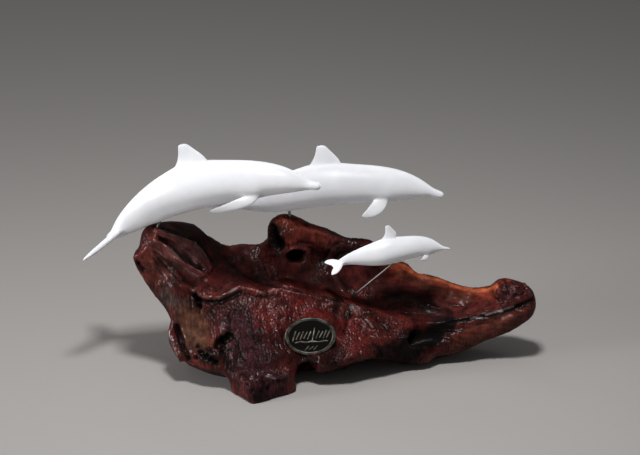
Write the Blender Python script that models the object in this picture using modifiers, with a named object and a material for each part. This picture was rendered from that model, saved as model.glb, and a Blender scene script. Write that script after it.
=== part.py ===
"""Dolphin family sculpture: three white castings on steel pins over a polished root.

The root is drawn in millimetres as a set of named lines (front ridge, trough, back rim, limbs and
hollows) that together give a distance field, and the field is turned into one closed mesh.
Each dolphin is a cage of rings along a bent spine, with fins grown out of it, then subdivided.
The pins tie everything together: each one starts on the root and carries its dolphin on its top end.
"""
import math

import bmesh
import bpy
import numpy as np
from mathutils import Matrix, Vector
from mathutils.bvhtree import BVHTree

# Sizes of the root, in metres.
BASE_LENGTH = 0.270
BASE_DEPTH = 0.112
BASE_HEIGHT = 0.100
ROOT_TRIANGLES = 3650

# Sizes of the dolphins from the tip of the beak to the notch of the flukes, along the back.
FRONT_LENGTH = 0.159
BACK_LENGTH = 0.153
CALF_LENGTH = 0.0822

# Pins: diameter of the two short ones and of the long one, depth in the root and in the casting.
LARGE_PIN_DIAMETER = 0.0020
CALF_PIN_DIAMETER = 0.0015
PIN_SEAT_IN_ROOT = 0.008
PIN_SEAT_IN_CASTING = 0.0028
BORE_DEPTH_IN_CASTING = 0.006
CLEARANCE = 0.0003
PIN_SIDES = 12

# Visible length of each pin.
FRONT_PIN_REACH = 0.0042
BACK_PIN_REACH = 0.0040
CALF_PIN_REACH = 0.0434

# Oval plate: its outline, raised rim, how deep it is let in and how it leans back, turns and rolls.
PLATE_WIDTH = 0.0340
PLATE_HEIGHT = 0.0250
PLATE_THICKNESS = 0.0018
PLATE_RIM_WIDTH = 0.0014
PLATE_RIM_HEIGHT = 0.0005
PLATE_BEVEL = 0.0004
PLATE_SINK = 0.0010
PLATE_SIDES = 28
PLATE_LEAN = math.radians(14.0)
PLATE_ROLL = math.radians(4.0)

# Length of the tools that cut the pin holes and the seat of the plate.
CUTTER_REACH = 0.020

# The lines of the root are drawn in millimetres at these sizes and then scaled to the sizes above.
# The drawing has x to the right, y away from the front and z up from the ground.
# Points where something stands on the root are drawn in it too, so they move with it.
DRAWN_LENGTH = 270.0
DRAWN_DEPTH = 112.0
DRAWN_HEIGHT = 100.0
CELL = 1.7
GRID_LOW = (-122.0, -64.0, -9.0)
GRID_HIGH = (158.0, 60.0, 106.0)
FRONT_PIN_FOOT = (-100.0, 4.0)
BACK_PIN_FOOT = (-14.1, 31.0)
CALF_PIN_FOOT = (27.8, 18.0)
PLATE_CENTRE = (0.3, 33.6)

# Lines of the main mass: x, y, z.
FRONT_RIDGE = (
    (-118, -8, 70), (-96, -8, 66), (-89, -12, 63), (-79, -10, 59.5), (-68, -8, 54.6), (-57, -8, 54.6),
    (-46, -6, 60), (-34, -3, 56), (-19, 0, 57.5), (-2, 4, 53), (13, 6, 49), (28, 7, 43.5), (44, 8, 37),
    (61, 8, 30), (75, 8, 26), (90, 8, 27), (109, 9, 31), (129, 8, 38), (148, 8, 44), (156, 8, 46),
)
TROUGH = (
    (-118, 4, 97), (-98, 4, 98.5), (-80, 4, 89), (-67.5, 6, 71.5), (-57, 10, 62), (-46, 14, 60),
    (-34, 16, 57), (-19, 16, 57), (-2, 18, 54), (13, 20, 50), (28, 22, 43.5), (44, 22, 39),
    (61, 22, 36), (75, 22, 34), (90, 22, 34), (109, 20, 36), (129, 18, 42), (148, 14, 46), (156, 12, 47),
)
BACK_RIM = (
    (-118, 16, 94), (-98, 22, 95), (-84.5, 28, 94.3), (-79, 30, 92.4), (-70.7, 34, 86), (-60.6, 38, 78),
    (-48, 40, 76.8), (-33, 40, 76.6), (-19, 40, 77), (-2, 40, 76), (20, 38, 76), (46, 40, 73.5),
    (61.6, 40, 62), (72, 38, 56.5), (87, 36, 52.4), (101, 34, 47.6), (112, 32, 45.8), (122, 30, 47.6),
    (129, 28, 51), (136.5, 25, 54), (148, 20, 49), (156, 16, 43),
)
# Lower edge of the front wall, which hangs over an undercut: x, y, z.
WALL_FOOT = (
    (-118, -2, 30), (-100, -8, 26), (-92, -14, 22), (-86, -20, 18), (-75, -29, 15), (-62, -36, 15),
    (-53, -38, 12), (-40, -40, 10), (-20, -38, 10), (-5, -34, 12), (8, -32, 12), (28, -33, 20),
    (44, -26, 19), (61, -14, 12), (75, -6, 6), (90, -1, 8), (105, 3, 12), (120, 6, 18), (135, 8, 24),
    (148, 8, 31), (156, 8, 34),
)
# How far behind that edge the undercut reaches the height of the underside, and the curve of its roof.
UNDERCUT = 30.0
UNDERCUT_CURVE = 1.5
# Underside height along the root: x, z.
UNDERSIDE = (
    (-118, 0), (8, 0), (22, 2), (38, 6), (50, 3), (60, 0), (78, 0), (90, 1), (102, 4), (118, 14),
    (136, 24), (149, 32), (156, 36),
)
# Left and right ends at each height: z, x.
LEFT_END = (
    (0, -85), (22, -85), (29, -86), (36, -90), (47, -98), (61, -108.6), (70, -113), (84, -112), (98, -109),
    (106, -106),
)
RIGHT_END = ((0, 92), (14, 120), (24, 138), (32, 149), (39, 152.4), (46, 152), (56, 146), (106, 140))
# Back of the mass: how far it swells beyond the rim and the height over which it does.
BACK_BULGE = 9.0
BULGE_HEIGHT = 75.0
# Fall of the top behind the rim and in front of the ridge, and rounding of the edges.
FALL_BEHIND = 0.8
FALL_IN_FRONT = 0.2
EDGE_ROUNDING = 6.0

# Limbs joined to the main mass: rows of x, y, z, radius.
LIMBS = {
    "head nub": ((-104, 2, 78, 8), (-112.5, 0, 80, 4.5)),
    "head crest": ((-104, 6, 91, 7.5), (-92, 14, 91, 8), (-83, 26, 86, 7)),
    "slab foot": ((-91, -12, 32, 3.2), (-90, -14, 26, 4.3), (-84, -22, 20, 5), (-66, -29, 21, 7)),
    "foot limb left": ((-56, 0, 44, 10), (-50, -16, 28, 12), (-40, -30, 14, 12)),
    "foot limb middle": ((-42, 0, 48, 10), (-38, -17, 30, 13), (-31, -30, 16, 13)),
    "foot limb right": ((-22, 2, 42, 9), (-22, -13, 26, 11), (-21, -27, 13, 11)),
    "centre lump": (
        (-14, 36, 68, 17), (-17.5, 32, 87, 11.5), (2, 34, 81, 9), (22, 37, 72, 8), (40, 39, 70, 7),
    ),
    "rim shoulder": ((38, 38, 58, 5.5), (52, 38, 57.5, 5), (63, 38, 55.5, 4.5)),
    "lobe": ((6, -14, 33, 12), (8, -23, 18.5, 9)),
    "keel": ((60, 4, 16, 11.5), (74, 2, 13, 9.5)),
    "knob": ((132, 18, 48.7, 8.5), (142, 15, 46, 8.5)),
    "lower lip": ((80, 14, 10, 9), (104, 14, 14, 7), (128, 13, 26, 6.5), (144, 12, 37, 6.5)),
    "back foot left": ((-60, 36, 30, 16), (-64, 42, 8, 11)),
    "back foot right": ((30, 38, 30, 16), (36, 42, 8, 12)),
}
LIMB_BLEND = 7.0

# Squared foot at the front: centre, half sizes, turn about z and rounding.
FOOT_CENTRE = (-29.8, -36.8, 7.0)
FOOT_HALF = (18.5, 13.5, 9.5)
FOOT_TURN = math.radians(35.0)
FOOT_ROUNDING = 3.0

# Hollows cut from the mass: rows of x, y, z, radius.
HOLLOWS = {
    "lump overhang": ((-26, 18, 84, 5), (-24, 22, 90, 4)),
    "knot hole": ((-12, 17, 72, 3.5), (-7, 18, 72, 3.5)),
    "arch by the foot": ((-4, -38, 9, 5), (-2, -12, 10, 8)),
    "right hollow": ((58, 1, 13, 4), (72, 2, 19.6, 6), (92, 2, 25.6, 6), (119, 2, 35, 4), (150, 1, 46, 2.5)),
}
HOLLOW_BLEND = 4.0

# Ridges (positive) and grooves (negative) drawn on the surface: height, width, then points x, y, z.
STROKES = {
    "first flute": (2.2, 3.2, ((-99, 1, 97), (-89, 3, 94), (-80, 4, 88), (-74, 6, 80), (-68, 6, 72))),
    "first groove": (-1.8, 3.0, (
        (-94, 8, 97), (-87, 8, 95), (-77, 12, 87), (-69, 14, 77), (-62, 14, 68),
    )),
    "second flute": (2.2, 3.2, (
        (-104, -2, 92), (-95, -1, 87), (-87, -3, 81), (-79, -3, 74), (-70, 0, 67),
    )),
    "second groove": (-1.6, 2.6, ((-99, 0, 93), (-89, 1, 88), (-82, 1, 82), (-73, 2, 73))),
    "third flute": (1.8, 3.0, (
        (-107, -3, 86), (-100, -5, 80), (-92, -6, 74), (-89, -10, 66), (-88, -11, 61),
    )),
    "left ridge": (2.2, 2.8, (
        (-79, -9, 60), (-73, -8, 55), (-68, -8, 54), (-57, -8, 54), (-48, -5, 60), (-43, -4, 60),
        (-34, -4, 56),
    )),
    "middle ridge": (1.5, 2.8, (
        (-34, -4, 56), (-19, 2, 57), (-2, 5, 52), (13, 7, 48), (28, 8, 42), (38, 8, 38),
    )),
    "trough line": (1.2, 4.0, ((-60, 12, 66), (-47, 15, 62), (-32, 15, 59))),
    "right ridge": (1.8, 3.0, (
        (38, 8, 38), (61, 10, 31), (81, 10, 28), (98, 10, 30), (120, 9, 36), (147, 9, 45),
    )),
    "wall rib": (1.6, 4.0, ((-10, 2, 50), (-8, -5, 36), (-18, -14, 22))),
}
# Lumps of the worn surface: height, then wave lengths of the broad and of the fine ones.
UNEVEN_HEIGHT = 0.7
FINE_SHARE = 0.6
BROAD_WAVES = (6.1, 6.7)
FINE_WAVES = (4.3, 3.7)

# Upright furrows down the plainer back: where they stand along the root, and their depth and width.
BACK_FURROWS = (-88, -66, -40, -22, 4, 24, 50, 74)
FURROW_DEPTH = 2.4
FURROW_WIDTH = 4.5
FURROW_START = 39.0
FURROW_FADE = 8.0
FURROW_SWAY = 3.0

# Arch of each spine: share of the length from the beak, pitch of the body there in degrees.
FRONT_ARCH = (
    (0.0, 0), (0.05, -4), (0.09, -9), (0.20, 1), (0.29, 7), (0.375, 8.5), (0.472, 12.4), (0.57, 21),
    (0.65, 28), (0.734, 34), (0.825, 39.5), (0.922, 45), (1.0, 43),
)
BACK_ARCH = (
    (0.0, -16), (0.044, -17), (0.10, -15), (0.186, -8.5), (0.294, -2.6), (0.402, 0.6), (0.494, 3.2),
    (0.59, 11), (0.70, 16.5), (0.80, 12), (0.874, 2), (0.94, -6), (1.0, -8),
)
CALF_ARCH = (
    (0.0, -9), (0.086, -11), (0.172, -11), (0.312, 2), (0.454, 8), (0.571, 9.5), (0.704, 5),
    (0.837, 8), (0.914, 29), (1.0, 31),
)

# Half depth of the body along the spine, as a share of the length, and its width over its depth.
GIRTH = (
    (0.0, 0.0130, 1.00), (0.022, 0.0175, 1.05), (0.056, 0.0198, 1.10), (0.085, 0.0340, 1.05),
    (0.130, 0.0510, 1.00), (0.180, 0.0660, 0.98), (0.240, 0.0780, 0.98), (0.320, 0.0865, 0.98),
    (0.440, 0.0930, 0.97), (0.520, 0.0965, 0.96), (0.595, 0.0945, 0.93), (0.680, 0.0835, 0.86),
    (0.790, 0.0670, 0.74), (0.900, 0.0450, 0.62), (0.953, 0.0240, 0.95), (1.0, 0.0100, 1.80),
)
RING_SIDES = 8
# How the smoothed surface lies against its cage: whole body, seat of the fins, belly at the pin, and
# the inner radius of a hole over half the side of its square cage.
CAGE_OVER_SURFACE = 1.075
DORSAL_SEAT = 0.93
PECTORAL_SEAT = 0.97
BELLY_SEAT = 0.905
HOLE_OVER_SQUARE = 0.949
DORSAL_RINGS = (8, 9, 10)
PECTORAL_TWIST = math.radians(38.0)
FLUKE_RINGS = (13, 14, 15)

# Back fin: rows of leading and trailing edge (shares of its base), height and half thickness (shares of
# the length).
DORSAL_SHAPE = (
    (0.08, 0.92, 0.000, 0.020), (0.12, 0.80, 0.026, 0.012), (0.33, 0.71, 0.062, 0.009),
    (0.46, 0.69, 0.091, 0.007),
)
# Side fins: rows of sweep and reach (shares of each dolphin's own), width (share of the root), half
# thickness and twist.
PECTORAL_SHAPE = (
    (0.00, 0.06, 0.80, 0.016, 0.15), (0.18, 0.46, 0.98, 0.011, 0.8), (0.62, 0.90, 0.74, 0.009, 1.0),
    (1.12, 1.10, 0.30, 0.006, 1.0),
)
# Tail fins: rows of leading edge, trailing edge, reach and half thickness, as shares of the length.
FLUKE_SHAPE = (
    (-0.036, 0.050, 0.036, 0.017), (-0.010, 0.082, 0.096, 0.016), (0.072, 0.128, 0.150, 0.011),
)

# Pins: where each one stands in the drawing, its lean (shares of its rise), visible length and diameter.
PINS = {
    "rod_front": {
        "foot": FRONT_PIN_FOOT, "lean": (0.30, 0.0),
        "reach": FRONT_PIN_REACH, "diameter": LARGE_PIN_DIAMETER,
    },
    "rod_back": {
        "foot": BACK_PIN_FOOT, "lean": (0.0, 0.0),
        "reach": BACK_PIN_REACH, "diameter": LARGE_PIN_DIAMETER,
    },
    "rod_calf": {
        "foot": CALF_PIN_FOOT, "lean": (0.934, -0.394),
        "reach": CALF_PIN_REACH, "diameter": CALF_PIN_DIAMETER,
    },
}

# Dolphins: pin, length, arch, heading, girth factors along the body, where the pin enters (ring and
# share of the way to the next ring), rings between which the side fins grow, and the height, shift,
# drop, reach and sweep of the fins.
DOLPHINS = {
    "dolphin_large_front": {
        "pin": "rod_front", "length": FRONT_LENGTH, "arch": FRONT_ARCH, "heading": math.radians(-12),
        "girth": (
            (0.0, 1.0), (0.12, 0.98), (0.20, 0.94), (0.32, 0.97), (0.5, 1.02), (0.7, 1.04), (1.0, 1.03),
        ),
        "pin_ring": 11, "pin_share": 0.68, "side_fin_rings": (6, 7),
        "dorsal_height": 1.0, "dorsal_shift": 0.0, "dorsal_sweep": 0.0,
        "pectoral_drop": math.radians(31), "pectoral_reach": 0.070, "pectoral_sweep": 0.146,
        "fluke_pitch": math.radians(38), "fluke_sweep": 1.15,
    },
    "dolphin_large_back": {
        "pin": "rod_back", "length": BACK_LENGTH, "arch": BACK_ARCH, "heading": 0.0,
        "girth": ((0.0, 1.0), (0.5, 0.98), (0.8, 1.08), (1.0, 1.0)),
        "pin_ring": 11, "pin_share": 0.27, "side_fin_rings": (6, 7),
        "dorsal_height": 1.0, "dorsal_shift": 0.0, "dorsal_sweep": 0.0,
        "pectoral_drop": math.radians(29), "pectoral_reach": 0.098, "pectoral_sweep": 0.070,
        "fluke_pitch": math.radians(-14), "fluke_sweep": 0.8,
    },
    "dolphin_calf": {
        "pin": "rod_calf", "length": CALF_LENGTH, "arch": CALF_ARCH, "heading": math.radians(12),
        "girth": (
            (0.0, 0.55), (0.06, 0.65), (0.12, 0.94), (0.3, 1.07), (0.5, 1.11), (0.7, 1.09), (0.9, 0.80),
            (1.0, 0.9),
        ),
        "pin_ring": 8, "pin_share": 0.54, "side_fin_rings": (5, 6),
        "dorsal_height": 1.30, "dorsal_shift": -0.20, "dorsal_sweep": 0.06,
        "pectoral_drop": math.radians(35), "pectoral_reach": 0.060, "pectoral_sweep": 0.052,
        "fluke_pitch": math.radians(20), "fluke_sweep": 0.5,
    },
}

# Colour, roughness and metallic value of each kind of piece, by the first word of its name.
FINISHES = {
    "root": ((0.12, 0.030, 0.016), 0.25, 0.0),
    "dolphin": ((0.85, 0.85, 0.85), 0.50, 0.0),
    "rod": ((0.45, 0.45, 0.45), 0.30, 1.0),
    "maker": ((0.08, 0.075, 0.065), 0.40, 1.0),
}


def scaled(point):
    """Turn a point of the root drawing, in millimetres, into metres at the chosen sizes."""
    x, y, z = point
    return Vector((
        x * BASE_LENGTH / DRAWN_LENGTH,
        y * BASE_DEPTH / DRAWN_DEPTH,
        z * BASE_HEIGHT / DRAWN_HEIGHT,
    ))


def along(line, position, column):
    """Read one column of a named line at the given positions, with a smooth curve through it."""
    rows = np.array(line, dtype=float)
    knots = rows[:, 0]
    values = rows[:, column]
    slopes = np.gradient(values, knots)
    place = np.clip(position, knots[0], knots[-1])
    left = np.clip(np.searchsorted(knots, place, side="right") - 1, 0, len(knots) - 2)
    width = knots[left + 1] - knots[left]
    t = (place - knots[left]) / width
    start = values[left] * (1 + 2 * t) * (1 - t) ** 2 + slopes[left] * width * t * (1 - t) ** 2
    end = values[left + 1] * (3 - 2 * t) * t ** 2 + slopes[left + 1] * width * (t - 1) * t ** 2
    return start + end


def join(first, second, width):
    """Union of two distance fields with a fillet."""
    share = np.clip(0.5 + 0.5 * (second - first) / width, 0.0, 1.0)
    return second * (1 - share) + first * share - width * share * (1 - share)


def cut(first, second, width):
    """Take the second field away from the first, with a rounded edge."""
    return -join(-first, second, width)


def both(first, second, width):
    """Part common to two fields, with a rounded edge."""
    return -join(-first, -second, width)


def limb_field(grid, nodes):
    """Distance to a chain of tapered round limbs."""
    x, y, z = grid
    nearest = None
    for (ax, ay, az, ar), (bx, by, bz, br) in zip(nodes[:-1], nodes[1:]):
        span = np.array((bx - ax, by - ay, bz - az), dtype=float)
        size = max(float(span @ span), 1e-6)
        t = ((x - ax) * span[0] + (y - ay) * span[1] + (z - az) * span[2]) / size
        t = np.clip(t, 0.0, 1.0)
        gap = (x - ax - t * span[0]) ** 2 + (y - ay - t * span[1]) ** 2 + (z - az - t * span[2]) ** 2
        field = np.sqrt(gap) - (ar + (br - ar) * t)
        nearest = field if nearest is None else np.minimum(nearest, field)
    return nearest


def box_field(grid, centre, half, turn, rounding):
    """Distance to a rounded box turned about the vertical."""
    x, y, z = grid
    cos_turn = math.cos(turn)
    sin_turn = math.sin(turn)
    across = (x - centre[0]) * cos_turn + (y - centre[1]) * sin_turn
    deep = -(x - centre[0]) * sin_turn + (y - centre[1]) * cos_turn
    out = (
        np.abs(across) - half[0] + rounding,
        np.abs(deep) - half[1] + rounding,
        np.abs(z - centre[2]) - half[2] + rounding,
    )
    outside = np.sqrt(sum(np.maximum(side, 0.0) ** 2 for side in out))
    inside = np.minimum(np.maximum(np.maximum(out[0], out[1]), out[2]), 0.0)
    return outside + inside - rounding


def softened(heights, passes):
    """Round off the creases of a height map."""
    for _ in range(passes):
        padded = np.pad(heights, 1, mode="edge")
        heights = 0.5 * heights + 0.125 * (
            padded[:-2, 1:-1] + padded[2:, 1:-1] + padded[1:-1, :-2] + padded[1:-1, 2:]
        )
    return heights


def blurred(field):
    """Even out detail finer than the grid, so the surface stays simple."""
    for axis in range(3):
        last = field.shape[axis] - 1
        before = np.concatenate((field.take([0], axis), field.take(range(last), axis)), axis)
        after = np.concatenate((field.take(range(1, last + 1), axis), field.take([last], axis)), axis)
        field = 0.5 * field + 0.25 * (before + after)
    return field


def main_mass(xs, ys, zs, grid):
    """Distance to the body of the root between its ridge, trough, rim, wall and underside."""
    x, y, z = grid
    ridge_y = along(FRONT_RIDGE, xs, 1)[:, None]
    ridge_z = along(FRONT_RIDGE, xs, 2)[:, None]
    trough_y = along(TROUGH, xs, 1)[:, None]
    trough_z = along(TROUGH, xs, 2)[:, None]
    rim_y = along(BACK_RIM, xs, 1)[:, None]
    rim_z = along(BACK_RIM, xs, 2)[:, None]
    across = ys[None, :]
    front_share = np.clip((across - ridge_y) / (trough_y - ridge_y), 0.0, 1.0)
    back_share = np.clip((across - trough_y) / (rim_y - trough_y), 0.0, 1.0)
    heights = ridge_z + (trough_z - ridge_z) * front_share + (rim_z - trough_z) * back_share
    heights = heights - np.maximum(across - rim_y, 0.0) * FALL_BEHIND
    heights = heights - np.maximum(ridge_y - across, 0.0) * FALL_IN_FRONT
    heights = softened(heights, 3)
    slope_x, slope_y = np.gradient(heights, xs, ys)
    steep = np.sqrt(1.0 + slope_x ** 2 + slope_y ** 2)[:, :, None]
    top = (z - heights[:, :, None]) / steep

    foot_y = along(WALL_FOOT, xs, 1)[:, None, None]
    foot_z = along(WALL_FOOT, xs, 2)[:, None, None]
    lean = (ridge_y[:, :, None] - foot_y) / (ridge_z[:, :, None] - foot_z)
    wall = (foot_y + lean * (z - foot_z) - y) / np.sqrt(1.0 + lean ** 2)

    swell = BACK_BULGE * np.sin(np.clip(zs / BULGE_HEIGHT, 0.0, 1.0) * math.pi * 0.9 + 0.25)
    back = y - (rim_y[:, :, None] + swell[None, None, :])
    bottom = along(UNDERSIDE, xs, 1)[:, None, None]
    forward = np.maximum((foot_y + UNDERCUT - y) / UNDERCUT, 0.0)
    under = bottom + np.maximum(foot_z - bottom, 0.0) * forward ** UNDERCUT_CURVE - z
    left = along(LEFT_END, zs, 1)[None, None, :] - x
    right = x - along(RIGHT_END, zs, 1)[None, None, :]

    mass = both(top, wall, EDGE_ROUNDING * 0.6)
    mass = both(mass, back, EDGE_ROUNDING)
    mass = both(mass, under, EDGE_ROUNDING * 0.7)
    mass = both(mass, left, EDGE_ROUNDING)
    return both(mass, right, EDGE_ROUNDING)


def uneven(grid):
    """Gentle lumps of a worn natural surface, in millimetres."""
    x, y, z = grid
    broad = np.sin(x / BROAD_WAVES[0] + 1.3 * np.sin(y / 8.0))
    broad = broad * np.sin(y / BROAD_WAVES[1] + 0.7 + 0.4 * np.sin(z / 5.0))
    fine = np.sin(z / FINE_WAVES[0] + x / 9.0) * np.sin(x / FINE_WAVES[1] - y / 7.0)
    return UNEVEN_HEIGHT * (broad + FINE_SHARE * fine)


def root_field(xs, ys, zs):
    """Distance field of the whole root on a grid."""
    grid = (xs[:, None, None], ys[None, :, None], zs[None, None, :])
    field = main_mass(xs, ys, zs, grid)
    for nodes in LIMBS.values():
        field = join(field, limb_field(grid, nodes), LIMB_BLEND)
    field = join(field, box_field(grid, FOOT_CENTRE, FOOT_HALF, FOOT_TURN, FOOT_ROUNDING), LIMB_BLEND * 0.5)
    for nodes in HOLLOWS.values():
        field = cut(field, limb_field(grid, nodes), HOLLOW_BLEND)
    for height, width, points in STROKES.values():
        reach = limb_field(grid, [(x, y, z, 0.0) for x, y, z in points])
        field = field - height * np.exp(-(reach / width) ** 2)
    x, y, z = grid
    for place in BACK_FURROWS:
        middle = place + FURROW_SWAY * np.sin(z / 14.0 + place)
        behind = np.clip((y - FURROW_START) / FURROW_FADE, 0.0, 1.0)
        field = field + FURROW_DEPTH * behind * np.exp(-((x - middle) / FURROW_WIDTH) ** 2)
    return blurred(field + uneven(grid))


def surface_net(field, axes):
    """Closed surface where the field changes sign: one point per crossed cell, one face per edge."""
    sizes = [n - 1 for n in field.shape]
    corners = {}
    for dx in (0, 1):
        for dy in (0, 1):
            for dz in (0, 1):
                corners[dx, dy, dz] = field[dx:dx + sizes[0], dy:dy + sizes[1], dz:dz + sizes[2]]
    inside_count = sum((corner < 0).astype(np.int8) for corner in corners.values())
    active = (inside_count > 0) & (inside_count < 8)
    number = np.full(active.shape, -1, dtype=np.int64)
    number[active] = np.arange(int(active.sum()))
    cells = np.argwhere(active)

    total = np.zeros((len(cells), 3))
    crossings = np.zeros(len(cells))
    for start, a in corners.items():
        for axis in range(3):
            if start[axis] == 1:
                continue
            stop = list(start)
            stop[axis] = 1
            first = a[active]
            second = corners[tuple(stop)][active]
            crossed = (first < 0) != (second < 0)
            share = np.where(crossed, first / np.where(crossed, first - second, 1.0), 0.0)
            spot = np.tile(np.array(start, dtype=float), (len(cells), 1))
            spot[:, axis] += share
            total += spot * crossed[:, None]
            crossings += crossed
    places = cells + total / crossings[:, None]
    points = np.stack([np.interp(places[:, i], np.arange(len(axes[i])), axes[i]) for i in range(3)], axis=1)

    faces = []
    for axis in range(3):
        u, v = (axis + 1) % 3, (axis + 2) % 3
        inner = [slice(1, -1)] * 3
        inner[axis] = slice(0, -1)
        low = field[tuple(inner)]
        inner[axis] = slice(1, None)
        high = field[tuple(inner)]
        for rising in (True, False):
            flip = (low < 0) & (high >= 0) if rising else (low >= 0) & (high < 0)
            spots = np.argwhere(flip)
            offset = np.ones(3, dtype=int)
            offset[axis] = 0
            spots = spots + offset
            ring = []
            for du, dv in ((-1, -1), (0, -1), (0, 0), (-1, 0)):
                cell = spots.copy()
                cell[:, u] += du
                cell[:, v] += dv
                ring.append(number[cell[:, 0], cell[:, 1], cell[:, 2]])
            quads = np.stack(ring if rising else ring[::-1], axis=1)
            faces.append(quads)
    return points, np.concatenate(faces)


def finish(name, colour, roughness, metallic):
    """Plain material of one piece."""
    material = bpy.data.materials.new(name)
    material.use_nodes = True
    shader = material.node_tree.nodes["Principled BSDF"]
    shader.inputs["Base Color"].default_value = (*colour, 1.0)
    shader.inputs["Roughness"].default_value = roughness
    shader.inputs["Metallic"].default_value = metallic
    return material


def new_object(name, points, faces, collection):
    """Make a mesh object from points and faces."""
    mesh = bpy.data.meshes.new(name)
    mesh.from_pydata([tuple(p) for p in points], [], [tuple(int(i) for i in f) for f in faces])
    mesh.shade_smooth()
    obj = bpy.data.objects.new(name, mesh)
    collection.objects.link(obj)
    return obj


def move_to(obj, collection):
    """Put an object in one collection only."""
    for other in list(obj.users_collection):
        other.objects.unlink(obj)
    collection.objects.link(obj)


def applied(obj):
    """Apply the modifiers of an object to its mesh."""
    graph = bpy.context.evaluated_depsgraph_get()
    mesh = bpy.data.meshes.new_from_object(obj.evaluated_get(graph))
    obj.modifiers.clear()
    old = obj.data
    obj.data = mesh
    bpy.data.meshes.remove(old)
    mesh.name = obj.name
    return obj


def subtract(obj, cutter):
    """Cut one object out of another and remove the cutter."""
    cutter.hide_render = True
    cutter.display_type = "WIRE"
    step = obj.modifiers.new("cut", "BOOLEAN")
    step.operation = "DIFFERENCE"
    step.solver = "EXACT"
    step.object = cutter
    applied(obj)
    bpy.data.objects.remove(cutter)
    return obj


def bar(name, start, end, diameter, collection):
    """Closed round bar between two points."""
    axis = end - start
    bpy.ops.mesh.primitive_cylinder_add(vertices=PIN_SIDES, radius=diameter / 2, depth=axis.length)
    obj = bpy.context.object
    obj.name = name
    obj.data.name = name
    turn = axis.to_track_quat("Z", "Y").to_matrix().to_4x4()
    obj.matrix_world = Matrix.Translation((start + end) / 2) @ turn
    move_to(obj, collection)
    return obj


def surface_of(obj):
    """Tree for casting rays at an object that stands at the origin."""
    return BVHTree.FromPolygons([v.co for v in obj.data.vertices], [p.vertices for p in obj.data.polygons])


def build_root(pieces, cutters):
    """The root as one closed mesh, flat under its feet."""
    axes = [np.arange(low, high, CELL) for low, high in zip(GRID_LOW, GRID_HIGH)]
    field = root_field(*axes)
    points, faces = surface_net(field, axes)
    root = new_object("root_base", [scaled(p) for p in points], faces, pieces)
    step = root.modifiers.new("fewer", "DECIMATE")
    step.ratio = min(1.0, ROOT_TRIANGLES / (2.0 * len(faces)))
    applied(root)
    bpy.ops.mesh.primitive_cube_add(size=1.0)
    ground = bpy.context.object
    ground.scale = (2 * BASE_LENGTH, 4 * BASE_DEPTH, BASE_HEIGHT)
    ground.location = (0, 0, -BASE_HEIGHT / 2)
    move_to(ground, cutters)
    return subtract(root, ground)


class Cage:
    """Points and quads of a mesh that is grown ring by ring."""

    def __init__(self):
        self.points = []
        self.faces = []
        self.sharp = []

    def add(self, point):
        self.points.append(Vector(point))
        return len(self.points) - 1

    def grow(self, first_row, second_row, levels):
        """Grow a blade out of the opening between two rows of points, and close its tip."""
        for first, second in levels:
            new_first = [self.add(p) for p in first]
            new_second = [self.add(p) for p in second]
            loop = first_row + second_row[::-1]
            new_loop = new_first + new_second[::-1]
            for i in range(len(loop)):
                after = (i + 1) % len(loop)
                self.faces.append((loop[i], loop[after], new_loop[after], new_loop[i]))
            first_row, second_row = new_first, new_second
        for i in range(len(first_row) - 1):
            self.faces.append((first_row[i], first_row[i + 1], second_row[i + 1], second_row[i]))


def spine_of(length, arch):
    """Points and directions of the spine at every ring, from the beak back, in the plane y = 0."""
    steps = 400
    shares = np.linspace(0.0, 1.0, steps + 1)
    pitch = np.radians(along(arch, shares, 1))
    middle = 0.5 * (pitch[1:] + pitch[:-1])
    x = np.concatenate(([0.0], np.cumsum(-np.cos(middle)))) * length / steps
    z = np.concatenate(([0.0], np.cumsum(-np.sin(middle)))) * length / steps
    rings = np.array([row[0] for row in GIRTH])
    return (
        np.interp(rings, shares, x),
        np.interp(rings, shares, z),
        np.interp(rings, shares, pitch),
    )


def blade_rows(lead, trail, normal, thickness, count):
    """Two rows of points on either side of a blade chord that runs from lead to trail."""
    fullness = (0.55, 1.0, 0.35) if count == 3 else (0.8, 0.4)
    first = []
    second = []
    for i in range(count):
        centre = lead + (trail - lead) * (i / (count - 1))
        first.append(centre + normal * thickness * fullness[i])
        second.append(centre - normal * thickness * fullness[i])
    return first, second


def dolphin_cage(look, bore_axis, bore_width):
    """Cage of one dolphin with the beak tip at the origin, heading along +X."""
    length = look["length"]
    xs, zs, pitches = spine_of(length, look["arch"])
    cage = Cage()
    rings = []
    frames = []
    for i, (share, half_depth, width) in enumerate(GIRTH):
        forward = Vector((math.cos(pitches[i]), 0, math.sin(pitches[i])))
        up = Vector((-math.sin(pitches[i]), 0, math.cos(pitches[i])))
        centre = Vector((xs[i], 0, zs[i]))
        tall = half_depth * length * CAGE_OVER_SURFACE * float(along(look["girth"], share, 1))
        wide = tall * width
        frames.append((centre, forward, up, tall, wide))
        ring = []
        for k in range(RING_SIDES):
            angle = math.radians(22.5 + 45.0 * k)
            spot = centre + Vector((0, 1, 0)) * wide * math.cos(angle) + up * tall * math.sin(angle)
            ring.append(cage.add(spot))
        rings.append(ring)

    openings = set()
    openings.update((i, 1) for i in DORSAL_RINGS[:-1])
    openings.update((look["side_fin_rings"][0], side) for side in (4, 6))
    openings.update((i, side) for i in FLUKE_RINGS[:-1] for side in (3, 7))
    openings.add((look["pin_ring"], 5))
    for i in range(len(rings) - 1):
        for k in range(RING_SIDES):
            if (i, k) in openings:
                continue
            after = (k + 1) % RING_SIDES
            cage.faces.append((rings[i][k], rings[i][after], rings[i + 1][after], rings[i + 1][k]))
    cage.faces.append(tuple(rings[0]))
    cage.faces.append(tuple(rings[-1][::-1]))

    grow_dorsal(cage, rings, frames, length, look)
    grow_pectorals(cage, rings, frames, length, look)
    grow_flukes(cage, rings, frames, length, look)
    mouth = grow_bore(cage, rings, frames, look, bore_axis, bore_width)
    return cage, mouth


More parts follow.
